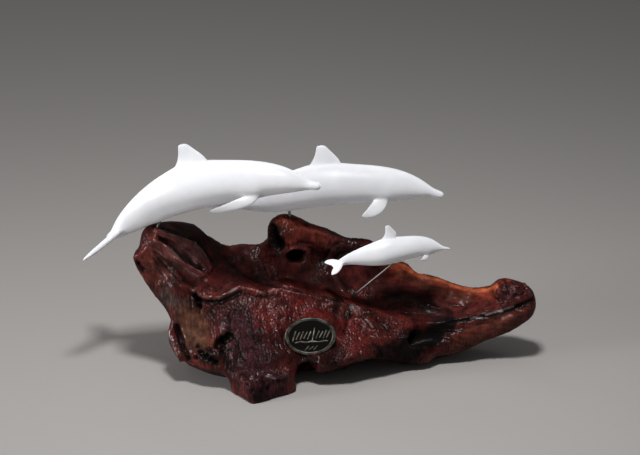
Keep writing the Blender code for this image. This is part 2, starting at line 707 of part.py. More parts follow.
def grow_dorsal(cage, rings, frames, length, look):
    """Back fin: swept, with a rounded tip that leans back."""
    left = [rings[i][1] for i in DORSAL_RINGS]
    right = [rings[i][2] for i in DORSAL_RINGS]
    front, rear = frames[DORSAL_RINGS[0]], frames[DORSAL_RINGS[-1]]
    crest_front = front[0] + front[2] * front[3] * DORSAL_SEAT
    crest_rear = rear[0] + rear[2] * rear[3] * DORSAL_SEAT
    back = (crest_rear - crest_front).normalized()
    up = Vector((back.z, 0, -back.x))
    side = Vector((0, 1, 0))
    chord = (crest_rear - crest_front).length
    levels = []
    for lead, trail, height, thick in DORSAL_SHAPE:
        rise = up * length * height * look["dorsal_height"]
        shift = look["dorsal_sweep"] * height / DORSAL_SHAPE[-1][2]
        if height > 0.0:
            shift += look["dorsal_shift"]
        start = crest_front + back * chord * (lead + shift) + rise
        end = crest_front + back * chord * (trail + shift) + rise
        levels.append(blade_rows(start, end, side, length * thick, 3))
    cage.grow(left, right, levels)


def grow_pectorals(cage, rings, frames, length, look):
    """Side fins: a pair of swept blades low on the chest."""
    front, rear = [frames[i] for i in look["side_fin_rings"]]
    for sector, sign in ((4, -1.0), (6, 1.0)):
        rows = (sector, sector + 1) if sign < 0 else (sector + 1, sector)
        upper = [rings[i][rows[0]] for i in look["side_fin_rings"]]
        lower = [rings[i][rows[1]] for i in look["side_fin_rings"]]
        root = Vector((0, 0, 0))
        for index in upper + lower:
            root += cage.points[index] / 4.0
        centre = (front[0] + rear[0]) * 0.5
        root = centre + (root - centre) * PECTORAL_SEAT
        back = (rear[0] - front[0]).normalized()
        drop = look["pectoral_drop"]
        out = Vector((0, sign * math.cos(drop), 0)) - front[2] * math.sin(drop)
        blade_up = back.cross(out).normalized()
        if blade_up.z < 0:
            blade_up = -blade_up
        chord = (rear[0] - front[0]).length
        levels = []
        for swept, reached, width, thick, twist in PECTORAL_SHAPE:
            turn = PECTORAL_TWIST * twist
            chord_way = back * math.cos(turn) + blade_up * math.sin(turn)
            blade_normal = blade_up * math.cos(turn) - back * math.sin(turn)
            spot = root + back * length * look["pectoral_sweep"] * swept
            spot = spot + out * length * look["pectoral_reach"] * reached
            start = spot - chord_way * chord * width * 0.5
            end = spot + chord_way * chord * width * 0.5
            levels.append(blade_rows(start, end, blade_normal, length * thick, 2))
        cage.grow(upper, lower, levels)


def grow_flukes(cage, rings, frames, length, look):
    """Tail fins: flat, swept back, with a notch between them."""
    for sector, sign in ((3, -1.0), (7, 1.0)):
        rows = (3, 4) if sign < 0 else (0, 7)
        upper = [rings[i][rows[0]] for i in FLUKE_RINGS]
        lower = [rings[i][rows[1]] for i in FLUKE_RINGS]
        middle = frames[FLUKE_RINGS[1]]
        tilt = look["fluke_pitch"]
        back = Vector((-math.cos(tilt), 0, -math.sin(tilt)))
        up = Vector((-math.sin(tilt), 0, math.cos(tilt)))
        levels = []
        for lead, trail, reach, thick in FLUKE_SHAPE:
            swept = max(lead, 0.0) * (look["fluke_sweep"] - 1.0)
            start = middle[0] + back * length * (lead + swept) + Vector((0, sign, 0)) * length * reach
            end = middle[0] + back * length * (trail + swept) + Vector((0, sign, 0)) * length * reach
            levels.append(blade_rows(start, end, up, length * thick, 3))
        cage.grow(upper, lower, levels)


def grow_bore(cage, rings, frames, look, axis, width):
    """Blind hole for the pin in the belly; returns the middle of its mouth."""
    i = look["pin_ring"]
    share = look["pin_share"]
    corners = [rings[i][5], rings[i][6], rings[i + 1][6], rings[i + 1][5]]
    near, far = frames[i], frames[i + 1]
    centre = near[0].lerp(far[0], share)
    up = near[2].lerp(far[2], share).normalized()
    tall = near[3] + (far[3] - near[3]) * share
    mouth = centre - up * tall * BELLY_SEAT
    back = (far[0] - near[0]).normalized()
    half = width / 2 / HOLE_OVER_SQUARE
    first_row = [corners[0], corners[3]]
    second_row = [corners[1], corners[2]]
    flat_back = (back - axis * back.dot(axis)).normalized() * half
    side = axis.cross(flat_back).normalized() * half
    if side.y < 0:
        side = -side
    levels = []
    for depth in (0.0, 0.6, 1.0):
        first, second = [], []
        for row, across in ((first, -side), (second, side)):
            for way in (-flat_back, flat_back):
                offset = across + way
                rise = BORE_DEPTH_IN_CASTING * depth if depth > 0 else -offset.dot(up) / axis.dot(up)
                row.append(mouth + offset + axis * rise)
        levels.append((first, second))
    start = len(cage.points)
    cage.grow(first_row, second_row, levels)
    cage.sharp = [(start, start + 1), (start + 1, start + 3), (start + 3, start + 2), (start + 2, start)]
    return mouth


def lean_axis(pin):
    """Unit direction of a pin."""
    return Vector((*pin["lean"], 1.0)).normalized()


def build_dolphin(name, spec, pin, top, collection):
    """One casting, standing with its pin hole on the top end of its pin."""
    turn = Matrix.Rotation(spec["heading"], 4, "Z")
    bore_axis = turn.inverted() @ lean_axis(pin)
    cage, mouth = dolphin_cage(spec, bore_axis, pin["diameter"] + 2 * CLEARANCE)
    obj = new_object(name, cage.points, cage.faces, collection)
    crease = obj.data.attributes.new("crease_edge", "FLOAT", "EDGE")
    sharp = {tuple(sorted(edge)) for edge in cage.sharp}
    for edge in obj.data.edges:
        crease.data[edge.index].value = 1.0 if tuple(sorted(edge.vertices)) in sharp else 0.0
    work = bmesh.new()
    work.from_mesh(obj.data)
    bmesh.ops.recalc_face_normals(work, faces=work.faces)
    work.to_mesh(obj.data)
    work.free()
    step = obj.modifiers.new("smooth", "SUBSURF")
    step.levels = 1
    step.render_levels = 1
    obj.matrix_world = Matrix.Translation(top) @ turn @ Matrix.Translation(-mouth)
    return obj


def pin_ends(pin, tree):
    """Point where a pin leaves the root and the point where it enters its casting."""
    place = scaled((*pin["foot"], 0.0))
    foot = tree.ray_cast(Vector((place.x, place.y, 2 * BASE_HEIGHT)), Vector((0, 0, -1)))[0]
    return foot, foot + lean_axis(pin) * pin["reach"]


def plate_frame(tree):
    """Where the back of the plate lies on the front wall, facing out along its own Z."""
    place = scaled((PLATE_CENTRE[0], 0.0, PLATE_CENTRE[1]))
    hit = tree.ray_cast(Vector((place.x, -2 * BASE_DEPTH, place.z)), Vector((0, 1, 0)))[0]
    return (
        Matrix.Translation(hit)
        @ Matrix.Rotation(math.radians(90) - PLATE_LEAN, 4, "X")
        @ Matrix.Rotation(PLATE_ROLL, 4, "Z")
        @ Matrix.Translation((0, 0, -PLATE_SINK))
    )


def oval_disc(name, frame, margin, low, high, collection):
    """Oval disc of the plate's outline plus a margin, between two heights in the plate's frame."""
    bpy.ops.mesh.primitive_cylinder_add(vertices=PLATE_SIDES, radius=1.0, depth=high - low)
    obj = bpy.context.object
    obj.name = name
    obj.data.name = name
    obj.data.transform(
        Matrix.Translation((0, 0, (high + low) / 2))
        @ Matrix.Diagonal((PLATE_WIDTH / 2 + margin, PLATE_HEIGHT / 2 + margin, 1.0, 1.0))
    )
    obj.matrix_world = frame
    move_to(obj, collection)
    return obj


def build_plate(frame, collection):
    """Oval plate with a bevelled raised rim around a sunk field."""
    plate = oval_disc("maker_plate", frame, 0.0, 0.0, PLATE_THICKNESS, collection)
    work = bmesh.new()
    work.from_mesh(plate.data)
    top = max(work.faces, key=lambda face: face.calc_center_median().z)
    bmesh.ops.bevel(
        work, geom=list(top.edges), offset=PLATE_BEVEL, offset_type="OFFSET", segments=1, affect="EDGES",
    )
    top = max(work.faces, key=lambda face: (round(face.calc_center_median().z, 7), face.calc_area()))
    bmesh.ops.inset_region(work, faces=[top], thickness=PLATE_RIM_WIDTH)
    bmesh.ops.inset_region(work, faces=[top], thickness=PLATE_RIM_HEIGHT / 2, depth=-PLATE_RIM_HEIGHT)
    work.to_mesh(plate.data)
    work.free()
    return plate


def build():
    """Build every piece and rest the group on the ground around the origin."""
    for obj in list(bpy.data.objects):
        bpy.data.objects.remove(obj)
    group = bpy.data.collections.new("dolphin_family_sculpture")
    cutters = bpy.data.collections.new("cutters")
    for collection in (group, cutters):
        bpy.context.scene.collection.children.link(collection)

    root = build_root(group, cutters)
    tree = surface_of(root)
    frame = plate_frame(tree)
    pieces = [root, build_plate(frame, group)]
    subtract(root, oval_disc("seat_cutter", frame, CLEARANCE, -CLEARANCE, CUTTER_REACH, cutters))

    for name, pin in PINS.items():
        axis = lean_axis(pin)
        foot, top = pin_ends(pin, tree)
        start = foot - axis * PIN_SEAT_IN_ROOT
        pieces.append(bar(name, start, top + axis * PIN_SEAT_IN_CASTING, pin["diameter"], group))
        wide = pin["diameter"] + 2 * CLEARANCE
        deep = start - axis * CLEARANCE
        subtract(root, bar("bore_cutter", deep, foot + axis * CUTTER_REACH, wide, cutters))

    for name, spec in DOLPHINS.items():
        pin = PINS[spec["pin"]]
        pieces.append(build_dolphin(name, spec, pin, pin_ends(pin, tree)[1], group))

    for piece in pieces:
        colour, roughness, metallic = FINISHES[piece.name.split("_")[0]]
        piece.data.materials.clear()
        piece.data.materials.append(finish(piece.name, colour, roughness, metallic))
    stand_on_origin(pieces, group)


def stand_on_origin(pieces, group):
    """Hold the pieces by one empty, with the middle of the footprint box on the origin."""
    graph = bpy.context.evaluated_depsgraph_get()
    spots = []
    for piece in pieces:
        shape = piece.evaluated_get(graph)
        spots += [shape.matrix_world @ vertex.co for vertex in shape.data.vertices]
    middle_x = 0.5 * (min(p.x for p in spots) + max(p.x for p in spots))
    middle_y = 0.5 * (min(p.y for p in spots) + max(p.y for p in spots))
    holder = bpy.data.objects.new("dolphin_family", None)
    group.objects.link(holder)
    for piece in pieces:
        piece.parent = holder
    holder.location = (-middle_x, -middle_y, 0)


build()
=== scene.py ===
"""Looks of the dolphin family sculpture: polished root, white castings, steel pins and oval plate.

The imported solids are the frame. The root is remeshed finely. Its flutes, crinkles, pits and fibres
are drawn in the picture, cast from the camera on to the solid and carved in the mesh. Places in the
picture are counted in its points from the top left corner.
"""
import math

import bmesh
import bpy
import numpy as np
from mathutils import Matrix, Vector
from mathutils.bvhtree import BVHTree


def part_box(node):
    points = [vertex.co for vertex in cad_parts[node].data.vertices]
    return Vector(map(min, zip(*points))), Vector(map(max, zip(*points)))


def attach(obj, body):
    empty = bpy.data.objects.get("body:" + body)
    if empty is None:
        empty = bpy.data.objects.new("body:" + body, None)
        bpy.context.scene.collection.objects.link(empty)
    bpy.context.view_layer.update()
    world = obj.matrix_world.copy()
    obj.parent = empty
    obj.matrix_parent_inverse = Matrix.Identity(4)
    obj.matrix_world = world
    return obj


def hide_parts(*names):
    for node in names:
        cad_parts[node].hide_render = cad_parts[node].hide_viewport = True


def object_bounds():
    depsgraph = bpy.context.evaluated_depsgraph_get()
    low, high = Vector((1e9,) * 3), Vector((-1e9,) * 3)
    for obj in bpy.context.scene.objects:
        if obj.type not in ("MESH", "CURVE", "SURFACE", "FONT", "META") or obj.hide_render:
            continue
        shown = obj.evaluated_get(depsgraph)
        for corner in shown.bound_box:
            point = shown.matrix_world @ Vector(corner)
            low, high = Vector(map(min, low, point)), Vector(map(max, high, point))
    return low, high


MM_PER_M = 1000.0
# Distance in mm that counts as nowhere near.
FAR = 1e3

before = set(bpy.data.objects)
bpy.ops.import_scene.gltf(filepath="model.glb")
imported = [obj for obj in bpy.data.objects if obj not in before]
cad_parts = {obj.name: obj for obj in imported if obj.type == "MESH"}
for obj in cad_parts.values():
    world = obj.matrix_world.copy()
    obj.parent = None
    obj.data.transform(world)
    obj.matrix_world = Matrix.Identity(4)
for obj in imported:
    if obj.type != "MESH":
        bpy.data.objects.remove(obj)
cad_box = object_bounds()

# Place of the root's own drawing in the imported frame: the back pin stands at a known place in it.
PIN_IN_DRAWING = Vector((-0.0141, 0.0310, 0.0))
pin_low, pin_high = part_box("rod_back")
PIN_IN_FRAME = Vector(((pin_low.x + pin_high.x) / 2, (pin_low.y + pin_high.y) / 2, 0.0))
ORIGIN = PIN_IN_FRAME - PIN_IN_DRAWING

# Camera, in metres and mm, and its axes.
LENS_MM = 85.0
SENSOR_MM = 36.0
PICTURE = (640.0, 455.0)
CAMERA_AIM = ORIGIN + Vector((0.0065, 0.0, 0.1005))
CAMERA_DISTANCE = 0.990
CAMERA_RISE = math.radians(20.0)
TOWARD = Vector((0.0, math.cos(CAMERA_RISE), -math.sin(CAMERA_RISE)))
RIGHT = Vector((1.0, 0.0, 0.0))
UP = Vector((0.0, math.sin(CAMERA_RISE), math.cos(CAMERA_RISE)))
CAMERA_PLACE = CAMERA_AIM - TOWARD * CAMERA_DISTANCE

# Root: mesh fineness in metres, and rounds and strength of smoothing over the facets of the solid.
VOXEL = 0.00098
SMOOTH_ROUNDS = 9
SMOOTH_FACTOR = 0.5
# Distances in mm over which the relief sets in above the ground and beside the plate, and the share of
# the plate's half length that its middle line takes.
GROUND_FADE = (0.3, 2.5)
PLATE_FADE = (1.0, 4.0)
PLATE_REACH = 0.55
# Distance in points of the picture between the sight lines cast along a stroke.
STROKE_STEP = 2.0
# Castings: rounds and share of the correction that keeps the smooth surface on the solid's points, and
# rounds of filling in the creases where fins leave the body, away from the beak (share of the length).
FIT_ROUNDS = 4
FIT_SHARE = 0.9
SUBDIVISIONS = 2
FILLET_ROUNDS = 9
BEAK_SHARE = 0.12
BEAK_FADE = 1.6


def add_object(name, data):
    """New object in the scene."""
    obj = bpy.data.objects.new(name, data)
    bpy.context.scene.collection.objects.link(obj)
    return obj


def make_camera():
    """Camera at the photograph's angle."""
    data = bpy.data.cameras.new("camera")
    data.lens = LENS_MM
    data.sensor_width = SENSOR_MM
    camera = add_object("camera", data)
    camera.location = CAMERA_PLACE
    camera.rotation_euler = TOWARD.to_track_quat("-Z", "Y").to_euler()
    bpy.context.scene.camera = camera


def sight_line(x, y):
    """Start and direction of the line of sight through a place in the picture."""
    scale = PICTURE[0] * LENS_MM / SENSOR_MM
    across = (x - PICTURE[0] / 2) / scale
    rise = (PICTURE[1] / 2 - y) / scale
    return CAMERA_PLACE, (TOWARD + RIGHT * across + UP * rise).normalized()


# Noise: a table of random numbers, blended smoothly between its cells.
NOISE_SEED = 11
TABLE_SIZE = 48
TABLE = np.random.default_rng(NOISE_SEED).uniform(-1.0, 1.0, (TABLE_SIZE, TABLE_SIZE, TABLE_SIZE))


def eased(t):
    """Smooth step from 0 to 1."""
    return t * t * (3.0 - 2.0 * t)


def ramp(values, start, end):
    """0 before start, 1 after end, smooth between."""
    return eased(np.clip((values - start) / (end - start), 0.0, 1.0))


def waves(points, lengths, offset=0.0):
    """Smooth repeatable noise at points in mm, with a wave length per axis."""
    cell = points / np.array(lengths, dtype=float) + offset
    base = np.floor(cell).astype(int)
    t = eased(cell - base)
    total = np.zeros(len(points))
    for corner in np.ndindex(2, 2, 2):
        share = np.ones(len(points))
        for axis in range(3):
            share = share * (t[:, axis] if corner[axis] else 1.0 - t[:, axis])
        spot = (base + np.array(corner)) % TABLE_SIZE
        total += share * TABLE[spot[:, 0], spot[:, 1], spot[:, 2]]
    return total


def turned_points(points, along):
    """Points measured in a frame whose third axis runs along the given direction."""
    third = Vector(along).normalized()
    first = third.orthogonal().normalized()
    second = third.cross(first)
    return points @ np.array((first, second, third)).T


# Ridges (positive) and grooves (negative): height and width in mm, points in the picture.
STROKES = {
    # left head
    "head band a": (1.2, 3.6, (156, 242), (170, 251), (184, 264), (200, 277)),
    "head band b": (1.0, 3.2, (160, 231), (178, 239), (194, 246), (205, 260)),
    "head valley": (-1.3, 2.4, (160, 239), (172, 247), (182, 255), (192, 262), (202, 269)),
    "head valley low": (-1.0, 3.0, (160, 258), (172, 268), (184, 279), (194, 285)),
    "head flute a": (1.6, 1.5, (151, 241), (163, 244), (172, 256), (181, 262), (192, 270), (203, 276)),
    "head flute b": (-1.5, 1.1, (156, 240), (168, 245), (178, 255), (188, 263), (200, 269)),
    "head flute c": (
        1.6, 1.5, (156, 230), (168, 235), (181, 240), (195, 245), (201, 253), (207, 262), (210, 268),
    ),
    "head flute d": (-1.6, 1.3, (161, 229), (180, 234), (197, 243), (206, 253), (212, 261)),
    "head flute e": (1.0, 0.9, (158, 256), (166, 264), (173, 273), (181, 279)),
    "head flute f": (-1.1, 0.9, (154, 252), (162, 262), (169, 270), (176, 278)),
    "head curl": (1.1, 0.9, (170, 284), (174, 289), (178, 295)),
    "head curl low": (0.9, 0.8, (173, 282), (180, 286), (186, 288)),
    "nub hollow": (-1.6, 1.8, (136, 262), (139, 266), (143, 270)),
    "nub line": (0.6, 1.0, (134, 257), (142, 253), (147, 247)),
    "head line a": (-0.5, 0.8, (147, 250), (156, 262), (163, 274), (168, 284)),
    "head line b": (0.4, 0.7, (152, 262), (160, 274), (165, 284)),
    "flute glint a": (1.1, 0.7, (176, 258), (184, 264), (192, 270), (201, 277)),
    "flute glint b": (1.0, 0.7, (156, 240), (165, 246), (174, 254)),
    "flute glint c": (0.9, 0.7, (158, 229), (170, 233), (182, 240), (190, 248)),
    "flute glint d": (0.9, 0.7, (195, 262), (201, 270), (206, 277)),
    "head bump a": (0.9, 0.9, (152, 262), (155, 268)),
    "head bump b": (0.8, 0.9, (160, 268), (165, 275), (168, 280)),
    # bright edge of the front ridge
    "edge a": (
        0.9, 1.1, (193, 290), (199, 294), (203, 297), (210, 297.5), (219, 297), (226, 294), (233, 289),
        (239, 287),
    ),
    "edge b": (0.7, 1.1, (239, 287), (247, 288), (256, 291), (263, 292.5), (270, 290), (281, 289)),
    "edge c": (0.6, 1.1, (281, 289), (292, 292), (302, 294), (312, 297), (322, 299)),
    "edge d": (0.7, 1.2, (322, 299), (334, 302), (345, 306), (356, 309), (368, 312), (380, 313)),
    "under edge a": (-1.9, 1.5, (192, 294), (199, 299), (207, 302), (220, 302), (231, 297), (241, 292)),
    "under edge b": (-0.8, 1.3, (246, 294), (258, 297), (268, 297), (280, 295)),
    "drip a": (0.7, 0.9, (193, 292), (193, 300), (195, 308)),
    "drip b": (-0.8, 1.0, (198, 298), (199, 306), (200, 313)),
    "drip c": (-0.9, 1.0, (213, 302), (212, 310), (214, 318)),
    # trough
    "trough shelf": (
        -0.8, 1.6, (226, 258), (235, 267), (244, 275), (256, 281), (270, 285), (285, 288), (302, 292),
    ),
    "trough shelf crest": (0.5, 1.4, (231, 256), (240, 265), (250, 272), (264, 278), (280, 284), (300, 289)),
    "trough streak a": (0.8, 0.9, (254, 263), (256, 271), (260, 279)),
    "trough streak b": (0.7, 0.8, (259, 262), (261, 270), (264, 277)),
    "trough streak c": (-0.6, 0.8, (251, 263), (253, 272), (257, 280)),
    "trough streak d": (0.7, 0.8, (271, 267), (274, 275), (277, 283)),
    "trough streak e": (0.6, 0.7, (277, 266), (280, 275), (281, 284)),
    "trough streak f": (0.5, 0.8, (230, 257), (231, 262)),
    "trough streak g": (0.5, 0.8, (235, 257), (236, 262)),
    "trough streak h": (0.5, 0.8, (240, 257), (241, 262)),
    "trough bow": (0.5, 0.8, (266, 256), (271, 254), (277, 254)),
    # centre lump
    "knot rim": (0.8, 1.0, (288, 252), (292, 249), (299, 248.5), (305, 250)),
    "lump crease a": (-0.7, 1.2, (283, 246), (290, 247), (300, 243), (312, 244)),
    "lump crease b": (-0.8, 1.2, (322, 262), (328, 254), (332, 246), (341, 242)),
    "lump crease c": (-0.8, 1.2, (333, 262), (340, 254), (352, 250)),
    "lump ledge": (0.7, 1.4, (286, 232), (300, 229), (318, 233), (338, 239), (356, 243)),
    "strand a": (0.9, 0.9, (334, 277), (339, 285), (344, 293)),
    "strand b": (-0.8, 0.9, (338, 275), (343, 283), (348, 291)),
    # crinkled skin right of the plate
    "crinkle a": (1.3, 0.9, (331, 305), (336, 303), (343, 304), (347, 307)),
    "crinkle b": (1.2, 0.9, (353, 305), (358, 308), (362, 311)),
    "crinkle c": (-1.2, 0.9, (349, 306), (352, 311), (350, 317)),
    "crinkle d": (1.1, 0.8, (364, 313), (371, 313), (379, 312)),
    "crinkle e": (1.2, 0.8, (356, 318), (361, 322), (366, 328)),
    "crinkle f": (-1.2, 0.9, (360, 315), (366, 321), (371, 327)),
    "crinkle g": (1.2, 0.8, (363, 336), (369, 333), (375, 331)),
    "crinkle h": (1.0, 0.8, (373, 329), (376, 333), (377, 337)),
    "crinkle i": (-1.1, 0.8, (376, 320), (383, 324), (389, 331)),
    "crinkle j": (0.9, 0.8, (385, 336), (392, 338), (401, 338), (408, 336)),
    "crinkle k": (1.0, 0.8, (339, 313), (341, 321), (338, 328)),
    "crinkle l": (-1.3, 1.0, (346, 312), (347, 321), (345, 331)),
    "crinkle m": (1.0, 0.7, (337, 339), (341, 343), (344, 346)),
    # right arm
    "arm groove": (-1.1, 1.3, (450, 322), (466, 320), (484, 316), (502, 312), (518, 308), (530, 304)),
    "arm lip crest": (0.6, 1.6, (452, 336), (470, 331), (490, 325), (510, 318), (529, 310)),
    "silver a": (0.6, 0.8, (471, 319), (476, 318), (481, 318)),
    "silver b": (0.7, 0.8, (486, 315), (494, 313), (502, 311)),
    "silver c": (0.6, 0.8, (504, 317), (510, 316), (513, 314)),
    "silver d": (0.7, 0.8, (519, 309), (525, 306), (529, 303)),
    "knob notch": (-2.4, 1.7, (518, 307), (526, 304), (534, 299)),
    "knob fold a": (-1.0, 1.0, (504, 279), (509, 287), (507, 296)),
    "knob fold b": (0.9, 0.9, (513, 276), (521, 280), (527, 287), (530, 294)),
    "arm grain a": (-0.15, 0.8, (405, 276), (425, 284), (450, 291), (475, 296), (490, 296)),
    "arm grain b": (0.12, 0.8, (402, 281), (422, 290), (448, 297), (470, 301), (488, 301)),
    "arm grain c": (-0.2, 0.8, (400, 288), (420, 296), (444, 303), (466, 307), (486, 307)),
    "arm hollow": (-0.9, 2.0, (385, 297), (402, 298), (420, 303), (438, 309)),
    "mass edge": (0.5, 2.2, (392, 300), (405, 298), (417, 302), (430, 309), (445, 315)),
    # front foot and lobe
    "foot edge a": (2.0, 1.0, (251, 378), (255, 375), (261, 372.5)),
    "foot edge b": (1.9, 1.0, (268, 375), (275, 377), (281, 377), (287, 374)),
    "foot fold": (-0.8, 1.1, (262, 376), (264, 384), (262, 392)),
    "rib by plate": (0.8, 1.1, (273, 321), (276, 328), (279, 335)),
    "rib by plate low": (-0.7, 1.1, (280, 318), (284, 328), (284, 340), (287, 352)),
    "limb fold a": (-0.9, 1.3, (228, 316), (231, 330), (238, 345), (243, 360)),
    "limb fold b": (0.8, 1.3, (222, 324), (224, 336), (230, 349), (234, 362)),
    "limb fold c": (-0.7, 1.2, (249, 312), (251, 328), (256, 344)),
    "limb fold d": (0.6, 1.2, (262, 305), (264, 320), (268, 336)),
    "lobe line": (0.7, 1.0, (300, 362), (308, 359), (316, 361), (323, 366)),
    # slab foot
    "slab edge": (0.8, 1.1, (169, 331), (172, 340), (176, 350), (181, 360)),
    "slab groove": (-2.8, 1.7, (177, 327), (180, 338), (184, 350), (188, 360)),
    "slab face": (0.9, 1.5, (170, 332), (173, 342), (177, 353), (182, 362)),
    "body edge by slab": (0.8, 1.2, (183, 330), (187, 340), (191, 352)),
}

# Round pits: depth and radius in mm, places in the picture.
PITS = {
    "knot hole": (6.0, 3.6, (293, 256), (297, 256), (301, 256.5)),
    "lump cavity": (4.5, 3.6, (270, 229), (272, 235), (275, 241), (279, 245)),
    "nub pit": (1.4, 1.4, (138, 264)),
    "left cavity": (4.0, 3.0, (219, 344), (223, 340), (228, 337)),
    "left crevice": (3.0, 2.0, (201, 352), (206, 356), (211, 360), (216, 363)),
    "left pits": (1.8, 1.6, (209, 348), (198, 346), (222, 352), (231, 350), (196, 358)),
    "ridge crevice": (3.0, 1.6, (196, 295), (198, 300), (200, 306)),
    "foot pits": (1.3, 1.2, (247, 385), (252, 391), (242, 372), (268, 388)),
    "knob pits": (
        1.2, 0.9, (506, 286), (513, 283), (519, 288), (510, 292), (516, 295), (524, 293), (503, 292),
        (522, 284),
    ),
}

# Fields of fine relief: picture place, radius (mm), run of the fibres (x, y, z), wave length across and
# along (mm), height (mm).
FIBRES = {
    "head": ((170, 262), 34, (0.72, -0.15, -0.68), 1.7, 12.0, 0.42),
    "head low": ((160, 285), 22, (0.55, 0.0, -0.83), 1.6, 9.0, 0.3),
    "wall left": ((262, 308), 26, (0.12, -0.25, -0.96), 2.1, 9.0, 0.34),
    "wall middle": ((295, 306), 22, (0.05, -0.2, -0.98), 2.0, 10.0, 0.36),
    "wall right": ((345, 318), 26, (0.25, -0.2, -0.9), 3.0, 7.0, 0.5),
    "trough wall": ((262, 270), 18, (0.2, -0.5, -0.85), 1.9, 9.0, 0.38),
    "lower left": ((235, 345), 30, (0.2, -0.4, -0.9), 2.4, 5.0, 0.42),
    "foot": ((265, 385), 22, (0.3, -0.3, -0.9), 2.6, 4.5, 0.42),
    "lobe": ((325, 358), 18, (0.3, -0.3, -0.9), 1.9, 6.0, 0.45),
    "arm": ((450, 290), 44, (0.95, 0.0, -0.1), 1.6, 16.0, 0.05),
    "groove": ((490, 312), 22, (0.9, 0.0, 0.25), 1.3, 7.0, 0.45),
    "right wall": ((400, 325), 26, (0.95, 0.0, 0.05), 2.2, 7.0, 0.45),
    "knob": ((515, 288), 15, (0.9, 0.0, 0.3), 1.9, 4.0, 0.75),
    "lump": ((315, 240), 26, (0.9, 0.0, -0.3), 2.0, 9.0, 0.35),
}


# Make-up of the fibres: core of a field with full height, a second finer wave with its share and lengths,
# height of the ridges and fall beside them, and how a field's name shifts its two waves.
FIELD_CORE = 0.45
FINE_SHARE = 0.5
FINE_ACROSS = 0.55
FINE_ALONG = 0.6
RIDGE_TOP = 0.55
RIDGE_FALL = 1.3
NAME_SHIFT = 3.7
NAME_SHIFT_FINE = 1.9
# Height in mm of a stroke with a fully polished crest.
FULL_CREST = 0.9
# Upright furrows on the back: faces that carry none and all of them (part of the normal along y), two waves
# (lengths in mm, offset), share of the second, height in mm and fall.
FURROW_TURN = (0.1, 0.6)
BACK_WAVE = ((2.6, 2.6, 14.0), 5.3)
BACK_WAVE_FINE = ((1.5, 1.5, 7.0), 2.1)
BACK_FINE_SHARE = 0.6
BACK_HEIGHT = 0.45
BACK_FALL = 1.4
# Slight unevenness all over: wave and height in mm.
UNEVEN_WAVE = ((3.0, 3.0, 3.0), 9.1)
UNEVEN_HEIGHT = 0.18


def in_mm(spot):
    """A place in metres as an array in mm."""
    return np.array(spot) * MM_PER_M


class Picture:
    """Casts places in the picture on to the root."""

    def __init__(self, points, faces):
        self.tree = BVHTree.FromPolygons(points, faces)

    def cast(self, x, y):
        """Point on the root in mm seen at a place in the picture, or None beside it."""
        spot = self.tree.ray_cast(*sight_line(x, y))[0]
        return None if spot is None else in_mm(spot)

    def line(self, places):
        """Points on the root in mm along a line drawn in the picture."""
        drawn = []
        for (ax, ay), (bx, by) in zip(places[:-1], places[1:]):
            steps = max(1, int(math.hypot(bx - ax, by - ay) / STROKE_STEP))
            drawn += [(ax + (bx - ax) * i / steps, ay + (by - ay) * i / steps) for i in range(steps)]
        spots = [self.cast(x, y) for x, y in drawn + [places[-1]]]
        return [spot for spot in spots if spot is not None]


def nearest_gap(points, spots):
    """Distance in mm from each point to a chain of spots."""
    gap = np.full(len(points), FAR)
    for a, b in list(zip(spots[:-1], spots[1:])) or [(spots[0], spots[0])]:
        span = b - a
        size = max(float(span @ span), 1e-9)
        t = np.clip(((points - a) @ span) / size, 0.0, 1.0)
        gap = np.minimum(gap, np.linalg.norm(points - a - t[:, None] * span, axis=1))
    return gap


def mesh_arrays(mesh):
    """Points in mm and normals of a mesh."""
    count = len(mesh.vertices)
    points = np.empty(count * 3)
    mesh.vertices.foreach_get("co", points)
    normals = np.empty(count * 3)
    mesh.vertices.foreach_get("normal", normals)
    return points.reshape(-1, 3) * MM_PER_M, normals.reshape(-1, 3)


def set_points(mesh, points):
    """Move the vertices of a mesh to points in mm."""
    mesh.vertices.foreach_set("co", (points / MM_PER_M).ravel())
    mesh.update()


def apply_modifiers(obj):
    """Keep the mesh that an object's modifiers give."""
    graph = bpy.context.evaluated_depsgraph_get()
    mesh = bpy.data.meshes.new_from_object(obj.evaluated_get(graph))
    obj.modifiers.clear()
    obj.data = mesh
    mesh.name = obj.name


def copy_of(node, name):
    """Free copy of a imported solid."""
    obj = add_object(name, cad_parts[node].data.copy())
    obj.data.materials.clear()
    return obj


def stand_for(obj, node):
    """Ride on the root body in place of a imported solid."""
    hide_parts(node)
    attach(obj, "root")


def set_attribute(mesh, name, values):
    """Store one number per vertex."""
    layer = mesh.attributes.new(name, "FLOAT", "POINT")
    layer.data.foreach_set("value", np.asarray(values, dtype=np.float32))


def set_colour(mesh, name, colours):
    """Store one colour per vertex."""
    layer = mesh.color_attributes.new(name, "FLOAT_COLOR", "POINT")
    full = np.ones((len(colours), 4), dtype=np.float32)
    full[:, :3] = colours
    layer.data.foreach_set("color", full.ravel())


def carve_fibres(height, points, picture):
    """Add the fields of fibres to the height."""
    for name, (place, radius, run, across, along, tall) in FIBRES.items():
        gap = np.linalg.norm(points - picture.cast(*place), axis=1)
        mask = 1.0 - ramp(gap, radius * FIELD_CORE, radius)
        near = mask > 0.0
        local = turned_points(points[near], run)
        fine = (across * FINE_ACROSS, across * FINE_ACROSS, along * FINE_ALONG)
        fibre = waves(local, (across, across, along), len(name) * NAME_SHIFT)
        fibre += FINE_SHARE * waves(local, fine, len(name) * NAME_SHIFT_FINE)
        height[near] += mask[near] * tall * (RIDGE_TOP - RIDGE_FALL * np.abs(fibre))


